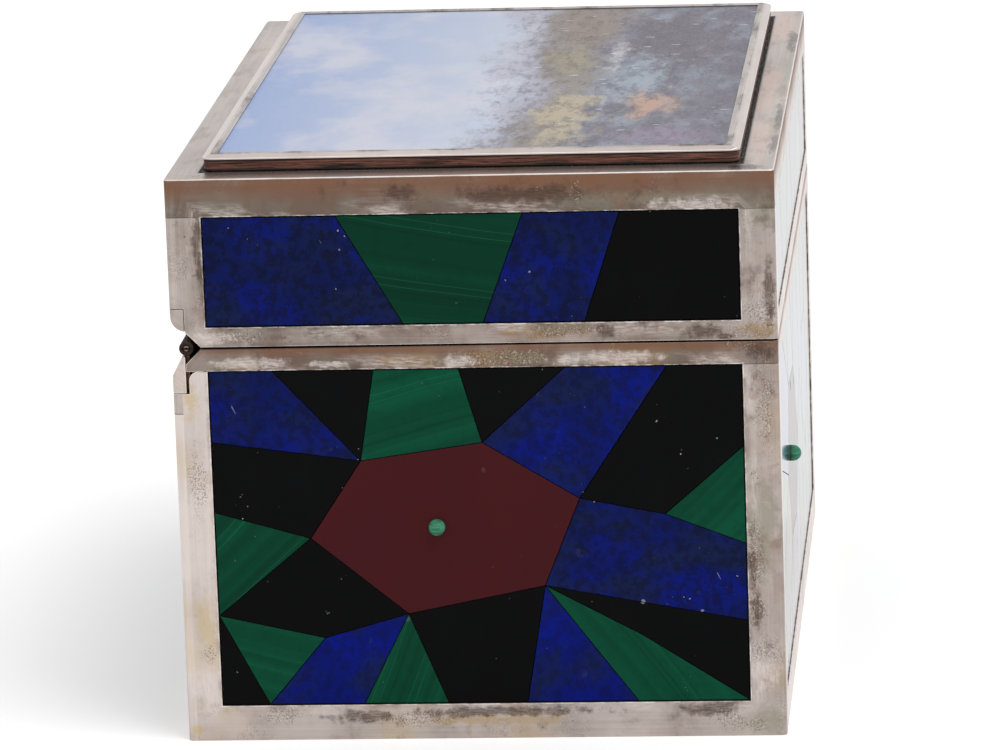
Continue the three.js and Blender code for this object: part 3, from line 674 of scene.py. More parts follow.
def blotches(wiring, place, size, low, high, ragged):
    inputs = {"Place": place, "Size": size, "From": low, "To": high, "Ragged": ragged}
    return use(wiring, "Blotches", build_blotches, **inputs)["Mask"]


def specks(wiring, place, spacing, size, rarity):
    inputs = {"Place": place, "Spacing": spacing, "Size": size, "Rarity": rarity}
    return use(wiring, "Specks", build_specks, **inputs)["Mask"]


def brushing(wiring, grain, width, length):
    return use(wiring, "Brushing", build_brushing, Grain=grain, Width=width, Length=length)["Lines"]


def old_marks(wiring, place, ragged, kind):
    """The marks of one kind, on the left wall's face and on the lid's top sheet."""
    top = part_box("lid_top_plate")[1].z / MM
    left = -WALL_FACES["left"]
    spots = [((left, y, z), (WALL_DEPTH, wide, tall)) for y, z, wide, tall in LEFT_MARKS.get(kind, ())]
    spots += [((x, y, top), (long, wide, TOP_DEPTH)) for x, y, long, wide in TOP_MARKS.get(kind, ())]
    mask = 0.0
    for middle, reach in spots:
        inputs = {"Place": place, "Middle": middle, "Reach": reach, "Ragged": ragged}
        mask = wiring.most(mask, use(wiring, "Patch", build_patch, **inputs)["Mask"])
    return mask


def start_material(name, kind=Wiring):
    made = bpy.data.materials.new(name)
    made.use_nodes = True
    made.node_tree.nodes.clear()
    return made, kind(made.node_tree)


def surface(wiring, colour, roughness, height, strength, metallic=0.0, specular=0.5, depth=0.05):
    """The Principled shader of a material, with a bump up to a depth in millimetres."""
    shader = wiring.add("ShaderNodeBsdfPrincipled")
    wiring.feed(shader.inputs["Base Color"], with_alpha(colour))
    wiring.feed(shader.inputs["Roughness"], roughness)
    wiring.feed(shader.inputs["Metallic"], metallic)
    shader.inputs["Specular IOR Level"].default_value = specular
    bump = wiring.add("ShaderNodeBump", {"Height": height, "Strength": strength, "Distance": depth * MM})
    wiring.feed(shader.inputs["Normal"], bump.outputs[0])
    output = wiring.add("ShaderNodeOutputMaterial")
    wiring.feed(output.inputs["Surface"], shader.outputs[0])


def material(name):
    return bpy.data.materials.get(name) or BUILDERS[name](name)


def settings():
    return bpy.context.scene.silver_box


# Materials

class SilverWiring(Wiring):
    """The layers of old silver. Its grain's second axis is the distance from a window, or below zero."""

    def __init__(self, tree):
        super().__init__(tree)
        self.finish = settings().finish
        self.point, self.map = self.place(), self.grain()
        self.tone, self.stain, self.edge = (self.attribute(label) for label in ("tone", "stain", "edge"))
        self.along, self.across, self.height = self.split(self.point)
        self.reach = self.split(self.map)[1]
        self.lines = brushing(self, self.map, 0.5, 26.0)
        self.streaks = self.noise(self.stretch(self.map, (0.5, 3.0, 1.0)), 1.0, 3.0, 0.7)
        self.on_top = self.span(self.height, RIM, RIM + 0.05)
        self.worn = self.span(self.tone, 0.0, 0.6, 0.06, 1.0)
        self.smoked = self.band(self.height, SEAM - 2.1, SEAM - 0.6, SEAM - 0.05, SEAM)
        longer = self.times(self.along, self.between(self.on_top, 1.0, 0.3))
        worked = self.join(X=longer, Y=self.across, Z=self.height)
        self.hazy_at, self.gritty_at, self.smudged_at, self.blotted_at = self.apart(worked, (31, 17, 9), 4)
        self.cloud = blotches(self, worked, 13.0, 0.34, 0.66, 0.5)
        self.smoke = blotches(self, self.hazy_at, 5.5, 0.48, 0.7, 0.6)
        ragged = self.spread(self.noise(self.gritty_at, 0.4, 5.0, 0.72), -0.75, 0.75)
        kinds = ("smoke", "ochre", "patina", "pale", "grit", "blush")
        self.marks = {kind: old_marks(self, self.point, ragged, kind) for kind in kinds}

    def film(self):
        """How thick the grey film is."""
        film = self.plus(self.tone, self.between(self.cloud, -0.12, 0.14))
        film = self.plus(film, self.times(self.smoke, self.times(self.worn, 0.2)))
        return self.plus(film, self.spread(self.lines, -0.07, 0.07), clamp=True)

    def filmed(self, film):
        """Clean silver under the film, with straw, green and pink places."""
        greyed = blotches(self, self.hazy_at, 8.0, 0.42, 0.6, 0.6)
        dull = self.mix(greyed, self.finish.dull, (0.175, 0.155, 0.128))
        colour = self.mix(film, self.finish.clean, dull)
        yellowed = blotches(self, self.smudged_at, 14.0, 0.52, 0.66, 0.5)
        yellowed = self.times(yellowed, self.span(self.height, SEAM, SEAM - 0.2, 0.06, 0.4))
        yellowed = self.most(yellowed, self.times(self.marks["ochre"], 0.6))
        thick = self.span(self.tone, 0.0, 0.7)
        colour = self.mix(yellowed, colour, self.mix(thick, self.finish.straw, (0.26, 0.15, 0.052)))
        green = self.mix(thick, (0.5, 0.49, 0.42), (0.215, 0.19, 0.145))
        colour = self.tint(colour, self.marks["patina"], 0.75, green)
        return self.tint(colour, self.marks["blush"], 0.5, (0.6, 0.41, 0.345))

    def stains(self):
        """Brown stains: under the lid's top edge, under the seam, in blots, and where a face has one."""
        burnt = self.band(self.height, RIM - 4.6, RIM - 1.4, RIM, RIM + 0.08)
        burnt = self.most(burnt, self.times(self.smoked, 0.9))
        burnt = self.times(burnt, self.between(self.cloud, 0.6, 1.0))
        blots = blotches(self, self.blotted_at, 6.0, 0.54, 0.66, 0.65)
        return self.most(self.times(blots, self.worn, 0.4), self.stain, burnt)

    def scuffs(self):
        """Places near the windows that are rubbed clean, in streaks."""
        near = self.band(self.reach, -0.2, 0.0, 1.2, 2.8)
        rub_at = self.stretch(self.map, (0.35, 0.8, 1.0), shift=(3, 17, 0))
        zone = blotches(self, rub_at, 6.0, 0.5, 0.57, 0.6)
        scuffs = self.times(zone, near, self.span(self.streaks, 0.35, 0.6))
        streaked = self.times(self.marks["pale"], self.span(self.streaks, 0.32, 0.6, 0.15, 0.75))
        return self.most(self.times(scuffs, 0.5), streaked)

    def smudges(self):
        smudge = self.times(blotches(self, self.smudged_at, 4.5, 0.58, 0.7, 0.65), self.worn)
        streaky = self.times(self.marks["smoke"], self.span(self.streaks, 0.3, 0.62, 0.45, 1.0))
        return self.most(self.times(smudge, 0.5), self.times(streaky, 0.85))

    def grit(self, smudge):
        """Dark grains, also in the smudges, and pale ones."""
        grains = use(self, "Grit", build_grit, Place=self.point)
        gritty = self.times(blotches(self, self.gritty_at, 9.0, 0.57, 0.64, 0.62), self.worn)
        gritty = self.most(self.times(gritty, 0.6), self.marks["grit"])
        dark = self.times(grains["Dark"], self.most(gritty, self.times(smudge, 0.5)))
        return dark, self.times(grains["Pale"], gritty)

    def crust(self):
        """Crust round the windows and along the joints of the rails."""
        crust = self.times(self.band(self.reach, -0.1, 0.0, 0.3, 0.8), self.between(self.smoke, 0.05, 0.5))
        joint = self.span(self.absolute(self.attribute("above")), 0.1, 0.03)
        joint = self.times(joint, self.between(self.smoke, 0.85, 0.35))
        return self.most(crust, self.times(joint, self.span(self.reach, 0.0, 0.1)))

    def black(self):
        """Painted shadow round the foot of the board, grime round the painted panel, painted shade in the
        seam at the left end, and black where a face's stain passes 1: grime in holes, and grime with painted
        shade on the window sides.
        """
        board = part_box("plaque_board")[1] / MM
        # Painted shadow: a streaky black line on the top sheet round the foot of the board, where the board
        # meets it.
        beyond = self.minus(self.absolute(self.along), board.x)
        beyond = self.most(beyond, self.minus(self.absolute(self.across), board.y))
        foot = self.times(self.span(beyond, 1.0, 0.6), self.span(self.height, board.z, board.z - 0.1))
        foot = self.times(foot, self.on_top, self.span(self.streaks, 0.3, 0.55, 0.75, 1.0))
        inlay = self.times(self.span(self.reach, 0.3, 0.12), self.span(self.height, board.z, board.z + 0.3))
        inlay = self.times(inlay, self.between(self.smoke, 0.3, 0.85))
        left = -WALL_FACES["left"]
        # Painted shade: a black line along the seam between lid and body at the left end, darker towards the
        # hinge.
        seam_shade = self.band(self.height, SEAM - 0.35, SEAM - 0.15, SEAM + 0.1, SEAM + 0.2)
        seam_shade = self.times(seam_shade, self.span(self.across, -25, 25))
        seam_shade = self.times(seam_shade, self.span(self.along, left + 3.5, left + 1.5))
        return self.most(self.span(self.stain, 1.0, 2.0), seam_shade, foot, inlay)

    def rubbed(self):
        """Edges and lips made bright: worn bright by handling, and a painted highlight where their rounds
        catch the light.
        """
        lip = self.band(self.reach, -0.1, -0.05, 0.12, 0.2)
        edges = self.times(self.edge, self.between(lip, 0.7, 0.0))
        rubbed = self.most(edges, self.times(lip, self.span(self.streaks, 0.45, 0.58, 0.0, 0.6)))
        rubbed = self.times(rubbed, self.between(self.smoke, 1.0, 0.3), self.between(self.smoked, 1.0, 0.1))
        return self.times(rubbed, self.span(self.height, 0.1, 0.5))


def build_silver(name):
    """Old silver, from its film up to the grime and the painted shade, which are rough and aren't metal."""
    made, silver = start_material(name, SilverWiring)
    finish, film, stained = silver.finish, silver.film(), silver.stains()
    colour = silver.mix(stained, silver.filmed(film), finish.stained)
    colour = silver.mix(silver.scuffs(), colour, finish.clean)
    smudge = silver.smudges()
    colour = silver.mix(smudge, colour, (0.072, 0.045, 0.034))
    dark, pale = silver.grit(smudge)
    colour = silver.tint(colour, dark, 0.55, (0.06, 0.042, 0.034))
    colour = silver.tint(colour, pale, 0.35, (0.85, 0.74, 0.63))
    spots = specks(silver, silver.point, 4.0, 0.055, 0.5)
    colour = silver.tint(colour, spots, 0.75, (0.07, 0.05, 0.04))
    crust, black = silver.crust(), silver.black()
    colour = silver.mix(crust, colour, (0.07, 0.045, 0.035))
    # Wear with a painted highlight: the edges' rounds and the window lips are made bright.
    colour = silver.mix(silver.rubbed(), colour, finish.bright)
    colour = silver.mix(black, colour, (0.012, 0.009, 0.008))
    # The grime mask also holds the painted shadow and shade from black().
    grime = silver.most(silver.times(crust, 0.9), black)
    roughness = silver.span(silver.plus(film, stained), 0.0, 1.6, 0.3, 0.5)
    roughness = silver.most(roughness, silver.times(grime, 0.75))
    relief = silver.minus(silver.times(silver.lines, 0.08), spots)
    relief = silver.minus(relief, silver.times(dark, 0.6))
    relief = silver.plus(relief, silver.times(silver.noise(silver.point, 0.12, 1.0), 1.6))
    surface(silver, colour, roughness, relief, 0.4, metallic=silver.minus(1.0, grime), specular=0.1)
    return made


def build_gilding(name):
    """Thin gilding inside the box, rubbed and a little red where it is worn."""
    made, wiring = start_material(name)
    finish = settings().finish
    place = wiring.place()
    worn = blotches(wiring, place, 18.0, 0.5, 0.72, 0.62)
    fine = blotches(wiring, place, 1.7, 0.42, 0.62, 0.7)
    colour = wiring.tint(finish.gilding, worn, 0.65, finish.clean)
    colour = wiring.tint(colour, fine, 0.25, finish.stained)
    brushed = wiring.noise(wiring.stretch(place, (0.12, 0.12, 4.0)), 1.0, 3.0, 0.6)
    spots = specks(wiring, place, 3.4, 0.09, 0.62)
    colour = wiring.tint(colour, spots, 0.7, finish.stained)
    roughness = wiring.span(wiring.plus(worn, brushed), 0.2, 1.6, 0.26, 0.46)
    height = wiring.minus(wiring.times(brushed, 0.3), spots)
    surface(wiring, colour, roughness, height, 0.3, metallic=1.0)
    return made


def finish_stone(wiring, colour, place, dust, polish=0.09):
    """Polish with rare scratches, chips that hold pale dust, and flecks in clusters with dark rims."""
    patches_at, clusters_at = wiring.apart(place, (40, 11, 23), 2)
    chips = specks(wiring, place, 6.5, 0.075, 0.55)
    patches = specks(wiring, patches_at, 17.0, 0.075, 0.72)
    clusters = blotches(wiring, clusters_at, 8.0, 0.58, 0.62, 0.5)
    ragged = wiring.spread(wiring.noise(place, 0.5, 3.0, 0.6), -0.6, 0.6)
    clusters = wiring.most(clusters, old_marks(wiring, place, ragged, "chips"))
    flecks = wiring.times(specks(wiring, place, 0.9, 0.24, 0.66), clusters)
    rims = wiring.times(specks(wiring, place, 0.9, 0.42, 0.66), clusters)
    cuts = specks(wiring, wiring.slant(place, (0.12, 1.0, 7.0), (0.5, 0.35, 0.9)), 6.5, 0.14, 0.93)
    colour = wiring.tint(colour, rims, dust, (0.002, 0.002, 0.003))
    shares = ((chips, 0.4), (flecks, 0.75), (patches, 0.16), (cuts, 0.3))
    pale = wiring.most(*[wiring.times(mask, share) for mask, share in shares])
    colour = wiring.tint(colour, pale, dust, (0.62, 0.64, 0.66))
    wear = wiring.most(chips, flecks)
    height = wiring.times(wiring.most(wear, cuts), -1.0)
    roughness = wiring.between(wiring.most(wear, patches), polish, 0.5)
    surface(wiring, colour, roughness, height, 0.3, specular=0.045, depth=0.04)


def build_onyx(name):
    """Black stone with the faintest clouds."""
    made, wiring = start_material(name)
    place = wiring.place()
    cloud = blotches(wiring, place, 9.0, 0.5, 0.75, 0.6)
    lift = wiring.times(wiring.plus(cloud, wiring.attribute("shade")), 0.0008)
    colour = wiring.mix(lift, settings().stone.onyx, (0.8, 0.85, 0.9))
    finish_stone(wiring, colour, place, 0.85)
    return made


def build_lapis(name):
    """Blue stone, from navy to bright, with soft grey-blue clouds and a fine dark mottle."""
    made, wiring = start_material(name)
    place, shade = wiring.place(), wiring.attribute("shade")
    moved = wiring.shifted(place, (21, 5, 33))
    body = wiring.mix(shade, (0.0035, 0.0085, 0.028), settings().stone.lapis)
    lit = blotches(wiring, moved, 9.0, 0.46, 0.6, 0.5)
    lit = wiring.times(lit, wiring.between(shade, 0.25, 0.8))
    colour = wiring.mix(lit, body, (0.0014, 0.0085, 0.23))
    clouds = blotches(wiring, wiring.stretch(wiring.grain(), (0.6, 1.0, 1.0)), 8.0, 0.46, 0.6, 0.55)
    colour = wiring.tint(colour, clouds, 0.72, (0.0065, 0.0135, 0.052))
    mottle = blotches(wiring, place, 1.6, 0.46, 0.56, 0.7)
    dim = wiring.times(mottle, wiring.between(shade, 0.7, 0.3))
    colour = wiring.mix(dim, colour, (0.0035, 0.004, 0.012))
    veil = blotches(wiring, moved, 3.5, 0.64, 0.78, 0.7)
    colour = wiring.tint(colour, veil, 0.035, (0.45, 0.55, 0.6))
    gold = specks(wiring, wiring.shifted(place, (7, 3, 5)), 2.1, 0.06, 0.86)
    colour = wiring.tint(colour, gold, 0.35, (0.42, 0.34, 0.16))
    finish_stone(wiring, colour, place, 0.8)
    return made


def build_malachite(name):
    """Green stone with straight bands along its longest side, and a rare thin bright one."""
    made, wiring = start_material(name)
    place, grain = wiring.place(), wiring.grain()
    green = Vector(settings().stone.malachite)
    wide = wiring.noise(wiring.stretch(grain, (0.03, 0.03, 1)), 1.0, 1.0)
    bands_at = wiring.join(X=wiring.plus(wiring.split(grain)[1], wiring.times(wide, 6.0)))
    broad = wiring.noise(bands_at, 0.13, 2.0, 0.5)
    bands = wiring.noise(bands_at, 0.5, 3.0, 0.6)
    threads = wiring.noise(bands_at, 0.3, 0.0)
    shade = wiring.span(wiring.attribute("shade"), 0.0, 0.7)
    base = wiring.mix(shade, tuple(green * 0.36), tuple(green * 1.25))
    colour = wiring.mix(wiring.span(broad, 0.38, 0.62, 0.0, 0.55), base, tuple(green * 0.45))
    colour = wiring.mix(wiring.span(bands, 0.5, 0.3, 0.0, 0.5), colour, (0.0015, 0.016, 0.01))
    colour = wiring.mix(wiring.span(bands, 0.55, 0.72, 0.0, 0.25), colour, (0.006, 0.12, 0.065))
    mottle = blotches(wiring, wiring.shifted(place, (2, 8, 4)), 2.2, 0.5, 0.68, 0.65)
    colour = wiring.tint(colour, mottle, 0.22, (0.0015, 0.022, 0.014))
    thin = wiring.absolute(wiring.minus(threads, 0.6))
    colour = wiring.mix(wiring.span(thin, 0.007, 0.002, 0.0, 0.2), colour, (0.04, 0.26, 0.11))
    finish_stone(wiring, colour, place, 0.15)
    return made


def build_jasper(name):
    """Dull red stone with soft clouds."""
    made, wiring = start_material(name)
    place = wiring.place()
    cloud = blotches(wiring, place, 12.0, 0.42, 0.66, 0.5)
    colour = wiring.tint(settings().stone.jasper, cloud, 0.3, (0.045, 0.0085, 0.013))
    finish_stone(wiring, colour, place, 0.08, 0.14)
    return made


def build_cabochon(name):
    """Paler green stone with soft bands, as on the round stones."""
    made, wiring = start_material(name)
    place = wiring.place()
    green = Vector(settings().stone.dome)
    bands = wiring.noise(wiring.stretch(place, (0.5, 0.5, 2.2), (0.3, 0.5, 0)), 1.0, 3.0, 0.6)
    colour = wiring.mix(wiring.span(bands, 0.36, 0.64), tuple(green * 0.55), tuple(green * 1.2))
    finish_stone(wiring, colour, place, 0.25, 0.12)
    return made


def build_mastic(name):
    """The dark filling that shows in the joints between the stones."""
    made, wiring = start_material(name)
    place = wiring.place()
    grit = wiring.noise(place, 5.0, 3.0, 0.7)
    colour = wiring.mix(wiring.span(grit, 0.4, 0.7), (0.012, 0.011, 0.01), (0.05, 0.045, 0.04))
    surface(wiring, colour, 0.8, grit, 0.4, specular=0.2, depth=0.04)
    return made


def build_board(name):
    """Dark brown wood, with streaks along the grain and open pores, and painted shade at its foot and under
    the rim.
    """
    made, wiring = start_material(name)
    place = wiring.place()
    low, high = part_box("plaque_board")
    rise = wiring.split(place)[2]
    streaks = wiring.noise(wiring.stretch(place, (0.12, 0.12, 3.2)), 1.0, 4.0, 0.72)
    pores = wiring.span(wiring.noise(wiring.stretch(place, (0.35, 0.35, 9.0)), 1.0, 2.0, 0.5), 0.56, 0.66)
    colour = wiring.mix(wiring.span(streaks, 0.36, 0.64), (0.006, 0.003, 0.0025), (0.25, 0.1, 0.066))
    colour = wiring.tint(colour, pores, 0.75, (0.007, 0.003, 0.002))
    # Painted shade: the board turns near black in a strip at its foot on the top sheet, and at its head under
    # the rim.
    foot, head = low.z / MM, high.z / MM
    gap = wiring.most(wiring.span(rise, foot + 0.5, foot + 0.1), wiring.span(rise, head - 0.3, head))
    colour = wiring.mix(gap, colour, (0.003, 0.002, 0.002))
    height = wiring.minus(wiring.times(streaks, 0.4), pores)
    roughness = wiring.spread(streaks, 0.42, 0.62)
    surface(wiring, colour, roughness, height, 0.5, specular=0.3, depth=0.08)
    return made


def build_painting(name):
    """A plain painted view in soft dabs: a cloudy sky over far hills, and dusky land before them."""
    made, wiring = start_material(name)
    plaque = settings().plaque
    low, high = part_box("painted_panel")
    place = wiring.place()
    width, depth = ((high - low) / MM)[:2]
    panel = wiring.stretch(place, (1 / width, 1 / depth, 0), shift=(0.5, 0.5, 0))
    along, rise = wiring.split(panel)[:2]
    touches_at, clouds_at, ragged_at, sunk_at, fine_at = wiring.apart(place, (19, 7, 0), 5)
    dabs = wiring.noise(wiring.stretch(place, (0.5, 1.0, 1.0)), 0.16, 3.0, 0.6)
    touches = wiring.noise(touches_at, 0.5, 4.0, 0.7)
    loose = wiring.plus(rise, wiring.spread(dabs, -0.03, 0.03))
    horizon = plaque.horizon

    clouds = wiring.noise(wiring.stretch(clouds_at, (0.6, 1.0, 1.0)), 0.05, 5.0, 0.62)
    sky = wiring.mix(wiring.span(loose, 0.98, horizon), plaque.sky, plaque.haze)
    sky = wiring.mix(wiring.span(clouds, 0.45, 0.62, 0.0, 0.75), sky, plaque.cloud)
    sky = wiring.mix(wiring.span(touches, 0.5, 0.72, 0.0, 0.25), sky, (0.34, 0.4, 0.6))

    def within(pitch, offset, base, reach, softness):
        """Whether a point lies within a soft hilly outline."""
        at = wiring.join(X=wiring.times(along, pitch), Y=offset)
        outline = wiring.spread(wiring.noise(at, 1.0, 1.0, 0.5), base, base + reach)
        return wiring.span(wiring.minus(outline, loose), -softness, softness)

    colour = wiring.mix(within(1.3, 0.0, horizon, 0.14, 0.045), sky, (0.3, 0.3, 0.37))
    colour = wiring.mix(within(1.9, 4.0, horizon - 0.06, 0.13, 0.022), colour, (0.2, 0.175, 0.165))
    dusk = wiring.mix(wiring.span(dabs, 0.4, 0.6), (0.11, 0.105, 0.145), (0.21, 0.24, 0.3))
    dusk = wiring.mix(wiring.span(loose, horizon - 0.1, 0.0, 0.0, 0.5), dusk, (0.1, 0.09, 0.115))
    colour = wiring.mix(within(1.6, 8.0, horizon - 0.16, 0.1, 0.03), colour, dusk)
    land = wiring.span(loose, horizon + 0.14, horizon + 0.04)
    ragged = wiring.noise(wiring.stretch(ragged_at, (0.4, 1.0, 1.0), (0, 0, 0.2)), 0.22, 5.0, 0.72)
    ragged = wiring.spread(ragged, -0.9, 0.9)
    level = wiring.stretch(place, (1, 1, 0))
    for middle, size, hue in FIELDS:
        inputs = {"Place": level, "Middle": (*middle, 0), "Reach": (*size, 1), "Ragged": ragged}
        field = use(wiring, "Patch", build_patch, **inputs)["Mask"]
        colour = wiring.tint(colour, wiring.times(field, land), 0.85, hue)
    fine = blotches(wiring, wiring.stretch(fine_at, (0.4, 1.0, 1.0)), 1.8, 0.48, 0.6, 0.7)
    colour = wiring.tint(colour, wiring.times(fine, land), 0.5, (0.065, 0.055, 0.065))
    sunk = specks(wiring, wiring.stretch(sunk_at, (0.5, 1.0, 1.0), (0, 0, 0.3)), 2.4, 0.2, 0.5)
    colour = wiring.tint(colour, wiring.times(sunk, land), 0.6, (0.035, 0.03, 0.04))
    lit = specks(wiring, wiring.stretch(place, (1.0, 0.35, 1.0)), 2.0, 0.2, 0.55)
    colour = wiring.tint(colour, wiring.times(lit, land), 0.7, (0.6, 0.61, 0.65))
    strokes = wiring.noise(wiring.stretch(place, (0.8, 1.7, 1.0), (0, 0, 0.35)), 1.0, 4.0, 0.65)
    colour = wiring.mix(wiring.spread(strokes, 0.0, 0.45), colour, (0.75, 0.73, 0.72), "SOFT_LIGHT")
    aside = wiring.most(*[wiring.absolute(wiring.minus(share, 0.5)) for share in (along, rise)])
    grimy = wiring.span(aside, 0.485, 0.5, 0.0, 0.6)
    grimy = wiring.times(grimy, wiring.span(touches, 0.4, 0.6, 0.3, 1.0))
    colour = wiring.mix(grimy, colour, (0.1, 0.09, 0.085))
    roughness = wiring.spread(strokes, 0.4, 0.6)
    surface(wiring, colour, roughness, strokes, 0.4, specular=0.35, depth=0.1)
    return made


BUILDERS = {
    "Silver": build_silver,
    "Gilding": build_gilding,
    "Onyx": build_onyx,
    "Lapis": build_lapis,
    "Malachite": build_malachite,
    "Jasper": build_jasper,
    "Cabochon": build_cabochon,
    "Mastic": build_mastic,
    "Board": build_board,
    "Painting": build_painting,
}


# Pieces

def merged(node):
    """A mesh of a CAD node, with its loose triangles joined and its flat faces whole."""
    mesh = bmesh.new()
    mesh.from_mesh(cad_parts[node].data)
    bmesh.ops.remove_doubles(mesh, verts=mesh.verts, dist=MERGE)
    bmesh.ops.dissolve_limit(mesh, angle_limit=FLAT_ANGLE, verts=mesh.verts, edges=mesh.edges)
    return mesh


def seam_planes():
    """Where the sheets are soldered together, as a distance from the middle on each axis."""
    ends = WALL_FACES["left"] * MM - FRAME_SHEET
    sides = WALL_FACES["front"] * MM - FRAME_SHEET
    return ends, sides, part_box("lid_top_plate")[0].z


def close_seams(mesh):
    """Fills the soldered seams, all but a hairline."""
    for axis, seam in enumerate(seam_planes()):
        for vert in mesh.verts:
            if 0 < seam - abs(vert.co[axis]) < SOLDER * 1.5:
                vert.co[axis] = math.copysign(seam - HAIRLINE, vert.co[axis])


def on_seam(edge):
    return any(all(abs(abs(vert.co[axis]) - seam) < SOLDER / 2 for vert in edge.verts)
               for axis, seam in enumerate(seam_planes()))


def score(mesh, centre, axis, distance):
    """Splits faces along two planes that face an axis, on both sides of a centre."""
    for side in (-1, 1):
        everything = mesh.verts[:] + mesh.edges[:] + mesh.faces[:]
        bmesh.ops.bisect_plane(
            mesh, geom=everything, dist=CUT, plane_co=centre + axis * distance * side, plane_no=axis)


def round_edges(mesh, width, segments=2):
    """Rounds every sharp edge outside the seams and returns the faces of the rounds."""
    mesh.normal_update()
    sharp = [edge for edge in mesh.edges
             if edge.is_manifold and edge.calc_face_angle() > SHARP_ANGLE and not on_seam(edge)]
    made = bmesh.ops.bevel(
        mesh, geom=sharp, offset=width, offset_type="OFFSET", segments=segments, profile=0.5,
        affect="EDGES", clamp_overlap=True, loop_slide=True)
    return set(made["faces"])


def prism(corners, normal, height):
    """A closed block on a flat outline that runs anticlockwise about the normal."""
    mesh = bmesh.new()
    foot = [mesh.verts.new(corner) for corner in corners]
    head = [mesh.verts.new(corner + normal * height) for corner in corners]
    mesh.faces.new(head)
    mesh.faces.new(foot[::-1])
    for i, vert in enumerate(foot):
        after = (i + 1) % len(foot)
        mesh.faces.new((vert, foot[after], head[after], head[i]))
    return mesh


def block(low, high):
    """A closed box between two corners."""
    corners = [Vector((low.x, low.y, low.z)), Vector((high.x, low.y, low.z)),
               Vector((high.x, high.y, low.z)), Vector((low.x, high.y, low.z))]
    return prism(corners, AXES["z"], high.z - low.z)


def rounded_slab(half_width, half_depth, corner, bottom, top):
    """A closed slab with rounded upright corners."""
    centres = ((1, 1, 0), (-1, 1, 90), (-1, -1, 180), (1, -1, 270))
    corners = []
    for side_x, side_y, start in centres:
        centre = Vector((side_x * (half_width - corner), side_y * (half_depth - corner), bottom))
        for step in range(ARC_STEPS + 1):
            angle = math.radians(start + step * 90 / ARC_STEPS)
            corners.append(centre + Vector((math.cos(angle), math.sin(angle), 0)) * corner)
    return prism(corners, AXES["z"], top - bottom)


def lathe(profile, centre, axis, steps=40):
    """A closed round body. The profile is (radius, distance along the axis), from pole to pole."""
    side = axis.orthogonal().normalized()
    other = axis.cross(side)
    mesh = bmesh.new()
    rings = []
    for radius, distance in profile:
        middle = centre + axis * distance
        if radius == 0:
            rings.append([mesh.verts.new(middle)])
            continue
        angles = [2 * math.pi * step / steps for step in range(steps)]
        rings.append([mesh.verts.new(middle + (side * math.cos(a) + other * math.sin(a)) * radius)
                      for a in angles])
    for ring, following in zip(rings, rings[1:]):
        for i in range(steps):
            after = (i + 1) % steps
            corners = [ring[i % len(ring)], ring[after % len(ring)],
                       following[after % len(following)], following[i % len(following)]]
            mesh.faces.new(dict.fromkeys(corners))
    return mesh


def grain_along(along, across, shift=0.0):
    """A grain that runs along an axis. Its second axis stays below zero, so no opening is near."""
    deep = along.cross(across)

    def grain(point):
        depth = point.dot(deep) * GRAIN_DEPTH
        return point.dot(along) + shift, point.dot(across) + depth - 1 - shift

    return grain


def grain_round(centre, right, up, half_width, half_height):
    """A grain that goes round an opening. Its second axis is the distance from the opening."""
    out = right.cross(up)

    def grain(point):
        offset = point - centre
        aside, above = offset.dot(right), offset.dot(up)
        depth = abs(offset.dot(out)) * GRAIN_DEPTH
        return aside + above + depth, max(abs(aside) - half_width, abs(above) - half_height) + depth

    return grain


def film_round(centre, right, up, half_width, half_height, films):
    """The film on the rails and stiles round an opening. It changes at once at the rail above."""
    below, hinge_side, front_side, over = films

    def film(point, middle):
        aside, above = (point - centre).dot(right), (point - centre).dot(up)
        if (middle - centre).dot(up) > half_height:
            return over
        on_stile = max(abs(aside) - half_width + MM, 0)
        on_rail = max(-above - half_height + MM, 0)
        stile = front_side if aside > 0 else hinge_side
        weight = on_stile / (on_stile + on_rail) if on_stile + on_rail else 0.5
        return stile * weight + below * (1 - weight)

    return film


class Piece:
    """Collects the closed parts of one piece, with the look of each corner of their faces."""

    def __init__(self, name):
        self.name = name
        self.points = []
        self.faces = []
        self.grain = []
        self.looks = {label: [] for label in ("edge", *USUAL_LOOKS)}
        self.coats = []

    def add(self, mesh, grain=None, rounds=(), coat=0, **looks):
        """The grain gives a point its place along and across, in metres.

        A look is a number, or depends on a point and on the middle of its face.
        """
        grain = grain or grain_along(AXES["x"], AXES["z"])
        start = len(self.points)
        mesh.verts.index_update()
        self.points += [vert.co.copy() for vert in mesh.verts]
        for face in mesh.faces:
            self.faces.append([start + vert.index for vert in face.verts])
            middle = face.calc_center_median()
            for vert in face.verts:
                self.grain.append(grain(vert.co))
                self.looks["edge"].append(float(face in rounds))
                for label, usual in USUAL_LOOKS.items():
                    look = looks.get(label, usual)
                    self.looks[label].append(look(vert.co, middle) if callable(look) else look)
            self.coats.append(coat(face) if callable(coat) else coat)
        mesh.free()

    def settle(self, body, slot, materials, replaced=()):
        """Makes the piece, and has it ride on a body in place of its CAD nodes."""
        data = bpy.data.meshes.new(self.name)
        data.from_pydata(self.points, [], self.faces)
        uv = data.uv_layers.new(name="grain")
        uv.data.foreach_set("uv", [value for pair in self.grain for value in pair])
        for label, values in self.looks.items():
            data.attributes.new(label, "FLOAT", "CORNER").data.foreach_set("value", values)
        data.polygons.foreach_set("material_index", self.coats)
        data.polygons.foreach_set("use_smooth", [True] * len(self.faces))
        data.set_sharp_from_angle(angle=CREASE_ANGLE)
        data.update()
        piece = bpy.data.objects.new(self.name, data)
        bpy.context.scene.collection.objects.link(piece)
        for coating in materials:
            data.materials.append(coating)
        piece.modifiers.new("Flat faces stay flat", "WEIGHTED_NORMAL").keep_sharp = True
        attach(piece, body)
        if replaced:
            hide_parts(*replaced)
        return piece


